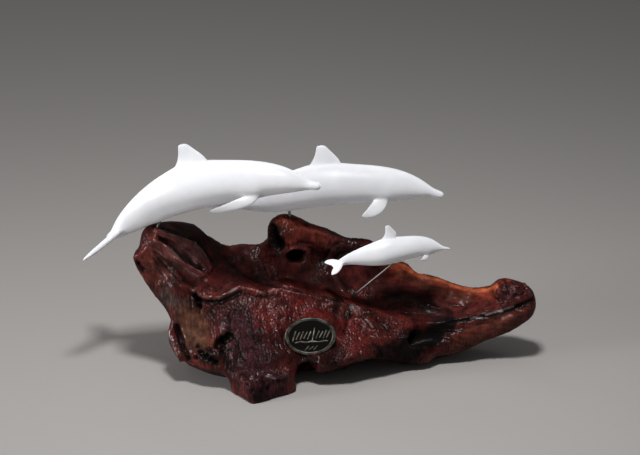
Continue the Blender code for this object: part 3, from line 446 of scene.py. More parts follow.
def carve_strokes(height, points, picture):
    """Add the strokes to the height, and tell how near each point is to a crest (0 to 1)."""
    crest = np.zeros(len(points))
    for tall, width, *places in STROKES.values():
        spots = picture.line(places)
        if not spots:
            continue
        bell = np.exp(-(nearest_gap(points, spots) / width) ** 2)
        height += tall * bell
        if tall > 0.0:
            crest = np.maximum(crest, bell * min(1.0, tall / FULL_CREST))
    return crest


def carve_pits(height, points, picture):
    """Take the pits off the height."""
    for depth, radius, *places in PITS.values():
        for place in places:
            spot = picture.cast(*place)
            if spot is not None:
                gap = np.linalg.norm(points - spot, axis=1)
                height -= depth * np.exp(-(gap / radius) ** 4)


def carve_relief(points, normals, picture):
    """Height of the carving in mm at each point, and how near it is to a crest (0 to 1)."""
    height = np.zeros(len(points))
    carve_fibres(height, points, picture)
    crest = carve_strokes(height, points, picture)
    carve_pits(height, points, picture)
    behind = ramp(normals[:, 1], *FURROW_TURN)
    back = waves(points, *BACK_WAVE) + BACK_FINE_SHARE * waves(points, *BACK_WAVE_FINE)
    height += behind * BACK_HEIGHT * (1.0 - np.abs(back) * BACK_FALL)
    height += UNEVEN_HEIGHT * waves(points, *UNEVEN_WAVE)
    return height, crest


# Colours of the wood, as linear values.
DEEP_RED = (0.068, 0.0105, 0.0085)
RED = (0.098, 0.0100, 0.0090)
# dark wood, also used as painted shade in creases, valleys and under ledges
DARK_TONE_AND_SHADE = (0.014, 0.0040, 0.0036)
# painted shade: near-black for pits, cavities, grooves, the hollow under the arm and faces turned down
SHADE_BLACK = (0.0045, 0.0026, 0.0026)
TAN = (0.092, 0.042, 0.026)
GREY = (0.046, 0.030, 0.027)
PURPLE = (0.030, 0.0085, 0.0110)
# painted light: orange of the arm's rim where light grazes it
PAINTED_RIM_LIGHT = (0.370, 0.088, 0.036)
RUST = (0.140, 0.025, 0.012)
BROWN = (0.062, 0.021, 0.014)
# painted highlights: pale glints and reddish sheen of the lacquer
PAINTED_GLINT = (0.34, 0.3, 0.28)
PAINTED_SHEEN = (0.24, 0.130, 0.130)
# Polish between the drawn ridges, as a share of the polish on the patches below, and on their crests.
FIELD_SHINE = 0.38
CREST_SHINE = 0.9

# Patches of colour: x and y in the picture, radius (mm), colour, strength, gloss (0 dull, 1 polished).
PATCHES = (
    # head, with painted sheen on the flutes and painted shade on its top
    (165, 250, 24, BROWN, 0.25, 0.8),
    (160, 275, 20, BROWN, 0.35, 0.7),
    (200, 250, 16, DEEP_RED, 0.6, 1.0),
    (194, 258, 8, PAINTED_SHEEN, 0.16, 1.0),
    (176, 250, 8, PAINTED_SHEEN, 0.14, 1.0),
    (188, 232, 14, DARK_TONE_AND_SHADE, 0.8, 0.7),
    (203, 236, 12, SHADE_BLACK, 0.7, 0.35),
    (214, 246, 9, DARK_TONE_AND_SHADE, 0.7, 0.5),
    (195, 226, 8, SHADE_BLACK, 0.6, 0.3),
    (168, 298, 10, GREY, 0.85, 0.25),
    (181, 305, 8, GREY, 0.6, 0.3),
    # left side and slab foot, with painted shade in the crevices and the cavity
    (188, 320, 15, TAN, 0.75, 0.15),
    (196, 336, 14, TAN, 0.9, 0.15),
    (203, 342, 8, TAN, 0.8, 0.15),
    (209, 333, 7, BROWN, 0.65, 0.25),
    (211, 343, 6, RUST, 0.35, 0.25),
    (171, 345, 8, PURPLE, 0.7, 0.6),
    (186, 352, 8, BROWN, 0.6, 0.3),
    (197, 300, 6, DARK_TONE_AND_SHADE, 0.9, 0.6),
    (208, 356, 9, DARK_TONE_AND_SHADE, 0.9, 0.6),
    (223, 341, 7, SHADE_BLACK, 1.0, 0.4),
    # front limb and foot, with painted shade at the bottom of the foot's fold
    (225, 310, 16, DARK_TONE_AND_SHADE, 0.6, 0.5),
    (240, 330, 22, PURPLE, 0.85, 0.4),
    (250, 360, 24, PURPLE, 0.85, 0.4),
    (270, 385, 20, PURPLE, 0.9, 0.45),
    (262, 394, 9, SHADE_BLACK, 0.6, 0.3),
    # wall beside the plate
    (268, 318, 14, RED, 0.7, 0.9),
    (295, 305, 18, RED, 0.8, 0.9),
    (320, 312, 12, RED, 0.6, 0.9),
    (262, 300, 12, DEEP_RED, 0.6, 0.9),
    (348, 330, 14, RED, 0.8, 0.9),
    (362, 345, 12, RED, 0.6, 0.8),
    (235, 277, 18, RED, 0.35, 1.0),
    # lobe under the plate, with painted shade in the cavity beside the foot
    (330, 355, 15, DARK_TONE_AND_SHADE, 0.9, 0.5),
    (303, 358, 12, DARK_TONE_AND_SHADE, 0.95, 0.4),
    # centre lump, its cavity and the trough, with painted shade in the cavity, on the lump's left face and in
    # the knot hole
    (302, 226, 9, RUST, 0.75, 0.3),
    (320, 233, 10, RUST, 0.45, 0.3),
    (291, 237, 6, RUST, 0.5, 0.4),
    (284, 222, 10, RUST, 0.6, 0.25),
    (298, 232, 12, DEEP_RED, 0.5, 0.35),
    (274, 230, 7, SHADE_BLACK, 1.0, 0.05),
    (274, 238, 10, SHADE_BLACK, 1.0, 0.05),
    (279, 245, 7, SHADE_BLACK, 1.0, 0.05),
    (286, 247, 5, RUST, 0.45, 0.5),
    (297, 256, 5.5, SHADE_BLACK, 1.0, 0.3),
    (345, 255, 13, DARK_TONE_AND_SHADE, 0.8, 0.5),
    (318, 262, 14, DARK_TONE_AND_SHADE, 0.45, 0.7),
    (308, 277, 14, DARK_TONE_AND_SHADE, 0.7, 0.7),
    (336, 284, 14, DARK_TONE_AND_SHADE, 0.7, 0.7),
    (360, 245, 10, DARK_TONE_AND_SHADE, 0.8, 0.4),
    # right wall, arm and hollow; the hollow under the arm and the crease beside the arm are painted shade
    (395, 315, 14, DEEP_RED, 0.6, 0.8),
    # painted shade in the crease between the arm and the front mass
    (400, 292, 14, DARK_TONE_AND_SHADE, 0.7, 0.35),
    (425, 300, 10, DARK_TONE_AND_SHADE, 0.75, 0.35),
    (405, 283, 8, DEEP_RED, 0.6, 0.35),
    (395, 275, 12, DEEP_RED, 0.5, 0.2),
    (372, 262, 12, DARK_TONE_AND_SHADE, 0.6, 0.2),
    (450, 290, 16, RUST, 0.35, 0.35),
    (478, 296, 14, DEEP_RED, 0.5, 0.35),
    # painted shade under the arm
    (430, 335, 17, SHADE_BLACK, 1.0, 0.35),
    (408, 348, 15, SHADE_BLACK, 0.95, 0.35),
    (448, 322, 9, SHADE_BLACK, 0.9, 0.4),
    (375, 350, 9, DARK_TONE_AND_SHADE, 0.8, 0.5),
    (425, 341, 12, SHADE_BLACK, 0.9, 0.0),
    (411, 336, 9, SHADE_BLACK, 0.9, 0.0),
    (434, 314, 11, DARK_TONE_AND_SHADE, 0.7, 0.0),
    (461, 300, 13, DEEP_RED, 0.3, 0.05),
    (397, 277, 13, DEEP_RED, 0.75, 0.0),
    (427, 306, 9, DARK_TONE_AND_SHADE, 0.55, 0.0),
    (378, 283, 9, DARK_TONE_AND_SHADE, 0.45, 0.0),
    # crinkles, lower lip and knob, with a painted highlight on the crinkles
    (356, 309, 6, PAINTED_SHEEN, 0.35, 1.0),
    (424, 322, 7, RED, 0.5, 0.8),
    (478, 336, 13, BROWN, 0.8, 0.5),
    (500, 326, 14, BROWN, 0.7, 0.5),
    (462, 346, 10, BROWN, 0.7, 0.4),
    (524, 308, 9, DEEP_RED, 0.7, 0.6),
    (514, 290, 11, PURPLE, 0.6, 0.8),
    (508, 281, 6, RUST, 0.8, 0.5),
)

# Lines of colour: half width (mm), colour, strength, gloss, points in the picture.
COLOUR_LINES = (
    # arm, its groove and the hollow; the rim is painted light, and the groove, the hollow under the arm and
    # the crease beside it are painted shade
    (8.0, RUST, 0.8, 0.3, (397, 268), (408, 273), (424, 279), (440, 284), (458, 290), (476, 294), (492, 292)),
    # painted light on the orange rim along the top of the arm
    (
        2.6, PAINTED_RIM_LIGHT, 0.9, 0.3, (395, 262), (402, 265), (410, 270), (420, 275), (432, 278), (446, 282),
        (460, 287), (475, 290), (488, 290), (496, 286),
    ),
    (3.0, BROWN, 0.7, 0.3, (396, 273), (412, 280), (430, 287), (450, 295), (470, 300)),
    # painted shade in the groove of the arm
    (
        2.2, SHADE_BLACK, 0.9, 0.5, (452, 321), (466, 319.5), (484, 315.5), (502, 311.5), (518, 307.5),
        (531, 303),
    ),
    # painted shade under the arm
    (8.0, SHADE_BLACK, 0.94, 0.0, (384, 353), (402, 352), (418, 347), (432, 339)),
    (6.0, SHADE_BLACK, 0.94, 0.0, (430, 340), (441, 331), (452, 323)),
    # painted shade in the crease between the arm and the front mass
    (3.4, DARK_TONE_AND_SHADE, 0.8, 0.05, (388, 290), (400, 293), (412, 297), (424, 301), (438, 307), (450, 313)),
    (2.6, RUST, 0.55, 0.5, (455, 338), (472, 332), (492, 325), (512, 316), (526, 308)),
    # painted shade under the ridge edge right of the plate, in the valleys between the head flutes and on the
    # slope below the first of them
    (2.0, DARK_TONE_AND_SHADE, 0.8, 0.7, (322, 298), (340, 303), (358, 309), (372, 312)),
    (1.7, DARK_TONE_AND_SHADE, 0.85, 0.6, (160, 239), (172, 247), (182, 255), (192, 262), (202, 269), (209, 274)),
    (3.0, DEEP_RED, 0.6, 0.8, (166, 262), (176, 271), (187, 280), (196, 285)),
    (1.6, DARK_TONE_AND_SHADE, 0.8, 0.8, (168, 229), (182, 233), (198, 243), (208, 254), (213, 262)),
    # painted highlights: glinting streaks of the trough, the wall and the crinkles
    (0.7, PAINTED_GLINT, 0.35, 0.9, (255, 263), (257, 270), (261, 279)),
    (0.6, PAINTED_SHEEN, 0.45, 0.9, (260, 262), (263, 271), (266, 279)),
    (0.6, PAINTED_SHEEN, 0.45, 0.9, (266, 264), (269, 273), (271, 281)),
    (0.7, PAINTED_GLINT, 0.32, 0.9, (273, 267), (276, 276), (278, 283)),
    (0.6, PAINTED_SHEEN, 0.4, 0.9, (227, 257), (229, 262)),
    (0.6, PAINTED_SHEEN, 0.4, 0.9, (232, 257), (234, 263)),
    (0.6, PAINTED_SHEEN, 0.4, 0.9, (238, 257), (239, 262)),
    (0.7, PAINTED_SHEEN, 0.45, 0.9, (257, 291), (255, 300)),
    (0.7, PAINTED_SHEEN, 0.45, 0.9, (264, 293), (262, 304)),
    (0.7, PAINTED_SHEEN, 0.45, 0.9, (276, 291), (274, 303)),
    (0.6, PAINTED_SHEEN, 0.4, 0.9, (290, 296), (290, 306)),
    (1.4, PAINTED_GLINT, 0.4, 0.9, (350, 307), (356, 307), (361, 310)),
    (0.7, PAINTED_GLINT, 0.45, 0.9, (361, 318), (365, 324), (362, 331)),
    (0.7, PAINTED_GLINT, 0.4, 0.9, (366, 319), (373, 327)),
    (0.6, PAINTED_SHEEN, 0.45, 0.9, (378, 322), (384, 330)),
    (0.6, PAINTED_SHEEN, 0.45, 0.9, (371, 336), (380, 338)),
    (0.7, PAINTED_SHEEN, 0.45, 0.9, (335, 336), (341, 341)),
    # front ridge and left side: a painted highlight along the ridge edge, and painted shade in the cavities,
    # the crevices and the slab's groove
    (
        1.4, RUST, 0.5, 0.9, (193, 292), (203, 297.5), (219, 297.5), (232, 290), (240, 287), (250, 289),
        (264, 293),
    ),
    (3.2, SHADE_BLACK, 0.95, 0.4, (217, 346), (223, 340), (230, 337)),
    (5.0, SHADE_BLACK, 0.8, 0.25, (222, 346), (226, 356), (232, 368)),
    (2.6, SHADE_BLACK, 0.9, 0.4, (199, 351), (206, 356), (212, 360), (218, 364)),
    (1.8, SHADE_BLACK, 0.9, 0.5, (178, 328), (181, 338), (185, 350), (189, 361)),
    (1.5, SHADE_BLACK, 0.85, 0.5, (196, 294), (198, 300), (200, 307)),
    # painted sheen and highlights along the head's flutes
    (
        1.5, PAINTED_SHEEN, 0.7, 0.9, (150, 241), (160, 243), (169, 249), (178, 258), (187, 266), (197, 274),
        (206, 280),
    ),
    (2.8, PAINTED_SHEEN, 0.55, 0.9, (186, 266), (194, 272), (203, 276)),
    (1.2, PAINTED_GLINT, 0.45, 0.8, (191, 265), (198, 271), (205, 277)),
    (1.8, PAINTED_SHEEN, 0.6, 0.9, (161, 234), (175, 239), (187, 245)),
    (1.0, PAINTED_SHEEN, 0.5, 0.9, (187, 245), (196, 248), (201, 256), (205, 263)),
    (0.8, PAINTED_SHEEN, 0.6, 0.9, (158, 258), (165, 264)),
    (0.8, PAINTED_SHEEN, 0.55, 0.9, (168, 268), (171, 275)),
    (0.8, PAINTED_SHEEN, 0.7, 0.9, (169, 284), (174, 290)),
    (0.8, PAINTED_SHEEN, 0.7, 0.9, (173, 282), (181, 286)),
    # painted highlights on the edges, the crinkles, the top edge of the foot and the knob
    (0.8, PAINTED_SHEEN, 0.6, 0.9, (193, 290.5), (200, 295)),
    (0.9, PAINTED_GLINT, 0.55, 0.9, (207, 297), (220, 297), (232, 291), (239, 287), (250, 289), (262, 293)),
    (0.8, PAINTED_SHEEN, 0.5, 0.9, (270, 290), (281, 289), (292, 292), (304, 294)),
    (0.9, PAINTED_GLINT, 0.45, 0.9, (331, 305), (337, 303), (344, 304)),
    (0.8, PAINTED_SHEEN, 0.55, 0.9, (353, 306), (360, 310)),
    (0.8, PAINTED_SHEEN, 0.55, 0.9, (362, 322), (366, 328), (372, 332)),
    (0.7, PAINTED_GLINT, 0.45, 0.9, (363, 336), (371, 332), (378, 331)),
    (1.1, PAINTED_GLINT, 0.55, 0.9, (251, 379), (256, 374), (262, 372)),
    (1.1, PAINTED_GLINT, 0.5, 0.9, (268, 376), (275, 378), (286, 374)),
    (1.0, PAINTED_GLINT, 0.55, 0.6, (500, 312), (508, 309), (516, 306)),
    (1.0, PAINTED_GLINT, 0.45, 0.6, (523, 305), (529, 301)),
    (0.8, PAINTED_SHEEN, 0.5, 0.9, (514, 277), (522, 281), (527, 288), (530, 294)),
    (0.7, PAINTED_SHEEN, 0.45, 0.9, (505, 284), (511, 287), (518, 286)),
    # painted highlights: fine glinting lines along the head flutes
    (0.6, PAINTED_GLINT, 0.5, 0.9, (189, 262), (197, 268), (204, 275)),
    (0.6, PAINTED_GLINT, 0.4, 0.9, (191, 259), (199, 265), (206, 272)),
    (0.5, PAINTED_SHEEN, 0.5, 0.9, (194, 257), (201, 263), (207, 270)),
    (0.6, PAINTED_GLINT, 0.45, 0.9, (194, 269), (200, 274), (206, 280)),
    (0.5, PAINTED_SHEEN, 0.55, 0.9, (152, 241), (162, 246), (171, 253), (178, 260)),
    (0.5, PAINTED_SHEEN, 0.45, 0.9, (150, 247), (158, 251), (166, 258)),
    (0.5, PAINTED_SHEEN, 0.5, 0.9, (163, 233), (174, 238), (184, 243)),
    (0.5, PAINTED_SHEEN, 0.45, 0.9, (181, 248), (188, 253), (194, 259)),
    # painted highlights: silver glints in the groove of the arm
    (1.1, PAINTED_GLINT, 0.65, 0.6, (471, 319), (477, 317.5), (482, 317.5)),
    (1.1, PAINTED_GLINT, 0.65, 0.6, (486, 315), (494, 312.5), (503, 310.5)),
    (1.1, PAINTED_GLINT, 0.7, 0.6, (503, 318), (508, 316.5), (512, 315)),
    (0.8, PAINTED_GLINT, 0.45, 0.6, (520, 308), (526, 304.5)),
)


# Ground colour's polish, and broad clouds of a second colour: wave (lengths in mm, offset), middle,
# contrast and strength.
GROUND_GLOSS = 0.85
DARK_CLOUDS = (((14.0, 14.0, 20.0), 3.3), 0.4, 1.3, 0.5)
BACK_CLOUDS = (((18.0, 18.0, 26.0), 7.9), 0.5, 1.2, 0.7)
# Edges of patches: core of full colour, waver in mm, its wave, and radius in mm with the full waver.
PATCH_CORE = 0.35
WAVER = 2.5
WAVER_WAVE = ((5.0, 5.0, 5.0), 1.4)
WAVER_RADIUS = 9.0
# Faces that count as back and as underside, from not at all to fully (part of the normal along y and
# against z), strength of the painted shade on the underside, and painted shade in hollows and painted light
# on ridges with their size in mm.
BACK_TURN = (0.0, 0.6)
UNDERSIDE_TURN = (0.5, 0.9)
UNDERSIDE_PAINTED_SHADE = 0.7
HOLLOW_DEPTH = 0.9
HOLLOW_PAINTED_SHADE = 0.85
RIDGE_HEIGHT = 1.2
RIDGE_PAINTED_LIGHT = 0.35


def blend(colours, tint, share):
    """Colours moved towards a tint by a share at each point."""
    share = share[:, None]
    return colours * (1.0 - share) + np.array(tint) * share


def clouds(points, wave, middle, contrast, strength):
    """Share of a second colour in broad clouds."""
    return np.clip(middle + contrast * waves(points, *wave), 0.0, 1.0) * strength


def paint_wood(points, normals, height, crest, picture):
    """Colour and gloss of the wood at each point, with painted shade and painted highlights in the colour."""
    colour = np.tile(np.array(DEEP_RED), (len(points), 1))
    gloss = np.full(len(points), GROUND_GLOSS)
    colour = blend(colour, DARK_TONE_AND_SHADE, clouds(points, *DARK_CLOUDS))
    behind = ramp(normals[:, 1], *BACK_TURN)
    colour = blend(colour, BROWN, behind * clouds(points, *BACK_CLOUDS))
    waver = WAVER * waves(points, *WAVER_WAVE)
    patches = [(radius, *look, (x, y)) for x, y, radius, *look in PATCHES]
    for radius, tint, strength, shine, *places in (*patches, *COLOUR_LINES):
        spots = picture.line(places)
        if not spots:
            continue
        gap = nearest_gap(points, spots) + waver * min(1.0, radius / WAVER_RADIUS)
        mask = strength * (1.0 - ramp(gap, radius * PATCH_CORE, radius))
        colour = blend(colour, tint, mask)
        gloss = gloss * (1.0 - mask) + shine * mask
    # painted shade: faces turned down are darkened towards near-black
    colour = blend(colour, SHADE_BLACK, ramp(-normals[:, 2], *UNDERSIDE_TURN) * UNDERSIDE_PAINTED_SHADE)
    # painted shade in carved hollows and painted light on carved ridges
    hollow = np.clip(-height / HOLLOW_DEPTH, 0.0, 1.0)[:, None]
    ridge = np.clip(height / RIDGE_HEIGHT, 0.0, 1.0)[:, None]
    colour = colour * (1.0 - HOLLOW_PAINTED_SHADE * hollow) * (1.0 + RIDGE_PAINTED_LIGHT * ridge)
    gloss = gloss * FIELD_SHINE
    return colour, gloss + (1.0 - gloss) * crest * CREST_SHINE


# Runs of the grain on the wall, the head and the arm, each with the share of its change along the run, and
# where they and the calm, smooth places lie: x and y in the picture, radius in mm.
RUNS = {
    "wall": ((0.08, -0.2, -0.97), 0.16),
    "head": ((0.72, -0.15, -0.68), 0.12),
    "arm": ((0.95, 0.05, -0.1), 0.12),
}
RUN_PLACES = {
    "run_head": ((165, 245, 34), (180, 262, 26)),
    "run_arm": ((450, 295, 48), (505, 300, 30), (400, 285, 20)),
    "calm": (
        (205, 240, 22), (230, 250, 20), (228, 284, 16), (240, 278, 12), (300, 280, 18), (330, 290, 14),
        (420, 280, 22), (455, 290, 22), (480, 296, 14), (310, 232, 14), (480, 336, 14), (505, 322, 14),
        (425, 340, 16), (434, 314, 12), (188, 322, 12), (196, 338, 12), (385, 272, 22), (402, 272, 14),
        (360, 275, 14),
    ),
}
RUN_CORE = 0.6


def run_mask(points, picture, places):
    """1 near the given places of the picture, fading out around them."""
    mask = np.zeros(len(points))
    for x, y, radius in places:
        gap = np.linalg.norm(points - picture.cast(x, y), axis=1)
        mask = np.maximum(mask, 1.0 - ramp(gap, radius * RUN_CORE, radius))
    return mask


def plate_line():
    """Ends in mm of a line along the middle of the plate."""
    low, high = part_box("maker_plate")
    middle = (low + high) / 2
    reach = Vector(((high.x - low.x) / 2 * PLATE_REACH, 0.0, 0.0))
    return [in_mm(middle - reach), in_mm(middle + reach)]


def remesh_root(root):
    """Fine even mesh, smoothed over the facets of the solid."""
    remesh = root.modifiers.new("fine", "REMESH")
    remesh.mode = "VOXEL"
    remesh.voxel_size = VOXEL
    smooth = root.modifiers.new("smooth", "SMOOTH")
    smooth.factor = SMOOTH_FACTOR
    smooth.iterations = SMOOTH_ROUNDS
    apply_modifiers(root)


def build_root():
    """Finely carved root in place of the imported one."""
    root = copy_of("root_base", "root_carving")
    solid_points = [v.co.copy() for v in root.data.vertices]
    picture = Picture(solid_points, [tuple(p.vertices) for p in root.data.polygons])
    remesh_root(root)
    mesh = root.data
    points, normals = mesh_arrays(mesh)
    height, crest = carve_relief(points, normals, picture)
    height = height * ramp(points[:, 2], *GROUND_FADE)
    height = height * ramp(nearest_gap(points, plate_line()), *PLATE_FADE)
    points = points + normals * height[:, None]
    set_points(mesh, np.clip(points, in_mm(cad_box[0]), in_mm(cad_box[1])))
    points, normals = mesh_arrays(mesh)
    colour, gloss = paint_wood(points, normals, height, crest, picture)
    set_colour(mesh, "wood_colour_and_painted_light", colour)
    set_attribute(mesh, "gloss", gloss)
    for name, places in RUN_PLACES.items():
        set_attribute(mesh, name, run_mask(points, picture, places))
    mesh.shade_smooth()
    mesh.materials.append(wood_material())
    stand_for(root, "root_base")


class Nodes:
    """Short way to build a material's node tree."""

    def __init__(self, name):
        self.material = bpy.data.materials.new(name)
        self.material.use_nodes = True
        self.tree = self.material.node_tree
        self.shader = self.tree.nodes["Principled BSDF"]

    def feed(self, socket, value):
        """Set a socket, or link it when the value is another node's output."""
        if isinstance(value, bpy.types.NodeSocket):
            self.tree.links.new(value, socket)
        else:
            socket.default_value = value

    def add(self, kind, **inputs):
        """Add a node and feed its inputs by name."""
        node = self.tree.nodes.new(kind)
        for name, value in inputs.items():
            self.feed(node.inputs[name], value)
        return node

    def link(self, name, value):
        """Link an output to an input of the shader."""
        self.tree.links.new(value, self.shader.inputs[name])

    def attribute(self, name, output="Fac"):
        """Read a stored vertex attribute."""
        node = self.tree.nodes.new("ShaderNodeAttribute")
        node.attribute_name = name
        return node.outputs[output]

    def noise(self, scale, detail, stretch=(1.0, 1.0, 1.0)):
        """Noise in object space; scale counts waves per metre."""
        place = self.add("ShaderNodeTexCoord").outputs["Object"]
        mapping = self.add("ShaderNodeMapping", Vector=place, Scale=stretch)
        node = self.add("ShaderNodeTexNoise", Vector=mapping.outputs["Vector"], Scale=scale, Detail=detail)
        return node.outputs["Fac"]

    def fibres(self, run, along_share):
        """Ridged noise whose ridges run along a direction: 1 on the ridges, 0 between them."""
        turn = Vector(run).normalized().rotation_difference(Vector((0.0, 0.0, 1.0))).to_euler()
        place = self.add("ShaderNodeTexCoord").outputs["Object"]
        turned = self.add("ShaderNodeMapping", Vector=place, Rotation=turn).outputs["Vector"]
        drawn = self.add("ShaderNodeMapping", Vector=turned, Scale=(1.0, 1.0, along_share)).outputs["Vector"]
        noise = self.add("ShaderNodeTexNoise", Vector=drawn, Scale=FIBRE_SCALE, Detail=FIBRE_DETAIL)
        gap = self.math("ABSOLUTE", self.math("SUBTRACT", noise.outputs["Fac"], 0.5), 0.0)
        return self.remap(gap, (0.0, FIBRE_HALF), (1.0, 0.0))

    def math(self, operation, first, second):
        """One arithmetic step."""
        node = self.tree.nodes.new("ShaderNodeMath")
        node.operation = operation
        self.feed(node.inputs[0], first)
        self.feed(node.inputs[1], second)
        return node.outputs[0]

    def remap(self, value, old, new):
        """Stretch one range of values to another one."""
        node = self.add("ShaderNodeMapRange", Value=value)
        for name, number in zip(("From Min", "From Max", "To Min", "To Max"), (*old, *new)):
            node.inputs[name].default_value = number
        return node.outputs["Result"]

    def mix(self, share, first, second):
        """Blend of two colours by a share."""
        node = self.tree.nodes.new("ShaderNodeMix")
        node.data_type = "RGBA"
        self.tree.links.new(share, node.inputs["Factor"])
        node.inputs["A"].default_value = (*first, 1.0)
        node.inputs["B"].default_value = (*second, 1.0)
        return node.outputs["Result"]

    def tint(self, colour, value):
        """Multiply a colour by a value."""
        node = self.tree.nodes.new("ShaderNodeVectorMath")
        node.operation = "SCALE"
        self.tree.links.new(colour, node.inputs[0])
        self.tree.links.new(value, node.inputs["Scale"])
        return node.outputs[0]

    def bump(self, height, strength, distance):
        """Bump from a height."""
        node = self.add("ShaderNodeBump", Height=height, Strength=strength, Distance=distance)
        return node.outputs["Normal"]


# Wood: fibres per metre, their detail and half width, shades by fibres and by blotches, contrast of the
# grain on rough and calm places, and how far the head's grain is calmed.
FIBRE_SCALE = 310.0
FIBRE_DETAIL = 1.5
FIBRE_HALF = 0.20
FIBRE_SHADES = (0.66, 1.14)
BLOTCH_SHADES = (0.45, 1.55)
GRAIN_CONTRAST = (3.2, 1.0)
HEAD_CALM = 0.7
# Lacquer: roughness and coat from no gloss to full gloss, roughness by blotches, and depth of the bump on
# rough and calm places, with its distance in metres under and in the coat.
WOOD_ROUGHNESS = (0.75, 0.50)
BLOTCH_ROUGHNESS = (-0.06, 0.06)
COAT_WEIGHT = (0.03, 0.75)
BUMP_STRENGTH = (0.50, 0.08)
BUMP_DISTANCE = 0.0007
COAT_BUMP_DISTANCE = 0.0008
FLECK_SHARE = 1.2


def wood_fibres(n):
    """Fibres that follow the wall, the head and the arm."""
    total = n.fibres(*RUNS["wall"])
    for name in ("head", "arm"):
        mask = n.attribute("run_" + name)
        rest = n.math("MULTIPLY", total, n.math("SUBTRACT", 1.0, mask))
        total = n.math("ADD", rest, n.math("MULTIPLY", n.fibres(*RUNS[name]), mask))
    return total


def wood_material():
    """Lacquered dark root wood with fine grain that follows its parts; the stored colour carries painted
    shade and highlights.
    """
    n = Nodes("polished_root")
    gloss = n.attribute("gloss")
    calm = n.attribute("calm")
    total = wood_fibres(n)
    grain = n.noise(scale=900.0, detail=3.0, stretch=(1.0, 1.0, 0.3))
    blotch = n.noise(scale=150.0, detail=4.0)
    by_fibres = n.remap(total, (0.0, 1.0), FIBRE_SHADES)
    shade = n.math("MULTIPLY", by_fibres, n.remap(blotch, (0.32, 0.68), BLOTCH_SHADES))
    quiet = n.math("MAXIMUM", calm, n.math("MULTIPLY", n.attribute("run_head"), HEAD_CALM))
    contrast = n.remap(quiet, (0.0, 1.0), GRAIN_CONTRAST)
    spread = n.math("MULTIPLY", n.math("SUBTRACT", grain, 0.5), contrast)
    shade = n.math("MULTIPLY", shade, n.math("ADD", spread, 1.0))
    n.link("Base Color", n.tint(n.attribute("wood_colour_and_painted_light", "Color"), shade))
    rough = n.remap(gloss, (0.0, 1.0), WOOD_ROUGHNESS)
    n.link("Roughness", n.math("ADD", rough, n.remap(blotch, (0.3, 0.7), BLOTCH_ROUGHNESS)))
    n.link("Coat Weight", n.remap(gloss, (0.1, 0.9), COAT_WEIGHT))
    n.shader.inputs["Coat Roughness"].default_value = 0.22
    n.shader.inputs["Specular IOR Level"].default_value = 0.05
    strength = n.remap(calm, (0.0, 1.0), BUMP_STRENGTH)
    flecks = n.math("ADD", total, n.math("MULTIPLY", n.noise(scale=520.0, detail=2.0), FLECK_SHARE))
    n.link("Normal", n.bump(total, strength, BUMP_DISTANCE))
    n.link("Coat Normal", n.bump(flecks, strength, COAT_BUMP_DISTANCE))
    return n.material


def casting_material():
    """Satin white cast stone."""
    n = Nodes("white_casting")
    mottle = n.remap(n.noise(scale=90.0, detail=4.0), (0.35, 0.65), (0.0, 1.0))
    n.link("Base Color", n.mix(mottle, (0.89, 0.90, 0.93), (0.94, 0.945, 0.975)))
    n.link("Roughness", n.remap(n.noise(scale=400.0, detail=2.0), (0.3, 0.7), (0.36, 0.48)))
    n.shader.inputs["Diffuse Roughness"].default_value = 1.0
    n.shader.inputs["Specular IOR Level"].default_value = 0.4
    n.link("Normal", n.bump(n.noise(scale=1500.0, detail=3.0), strength=0.12, distance=0.0001))
    return n.material


def steel_material():
    """Drawn steel wire."""
    n = Nodes("pin_steel")
    n.shader.inputs["Metallic"].default_value = 1.0
    streak = n.noise(scale=2500.0, detail=2.0, stretch=(1.0, 1.0, 0.1))
    n.link("Base Color", n.mix(streak, (0.11, 0.10, 0.095), (0.30, 0.28, 0.27)))
    n.link("Roughness", n.remap(streak, (0.3, 0.7), (0.25, 0.42)))
    return n.material


def plate_material():
    """Darkened antique metal with worn high places."""
    n = Nodes("antique_plate")
    n.shader.inputs["Metallic"].default_value = 1.0
    spots = n.noise(scale=1200.0, detail=3.0)
    patches = n.remap(n.noise(scale=260.0, detail=2.0), (0.38, 0.62), (0.30, 1.0))
    worn = n.math("MULTIPLY", n.attribute("worn"), patches)
    share = n.math("MULTIPLY", worn, n.remap(spots, (0.3, 0.7), (0.5, 1.2)))
    n.link("Base Color", n.mix(share, (0.020, 0.019, 0.017), (0.30, 0.27, 0.23)))
    n.link("Roughness", n.remap(spots, (0.3, 0.7), (0.36, 0.55)))
    n.link("Normal", n.bump(spots, strength=0.3, distance=0.0001))
    return n.material


def join_facets(body):
    """Merge the solid's doubled points and join its triangles to quads."""
    work = bmesh.new()
    work.from_mesh(body.data)
    bmesh.ops.remove_doubles(work, verts=work.verts, dist=1e-6)
    bmesh.ops.join_triangles(
        work, faces=work.faces, angle_face_threshold=math.radians(50), angle_shape_threshold=math.radians(60),
    )
    work.to_mesh(body.data)
    work.free()


def smooth_through_points(body):
    """Subdivide a solid so that the smooth surface still passes through the solid's own points."""
    step = body.modifiers.new("smooth", "SUBSURF")
    step.levels = SUBDIVISIONS
    step.render_levels = SUBDIVISIONS
    wanted = mesh_arrays(body.data)[0]
    control = wanted.copy()
    for _ in range(FIT_ROUNDS):
        graph = bpy.context.evaluated_depsgraph_get()
        graph.update()
        reached = mesh_arrays(body.evaluated_get(graph).data)[0][:len(wanted)]
        control = control + (wanted - reached) * FIT_SHARE
        set_points(body.data, control)
    apply_modifiers(body)


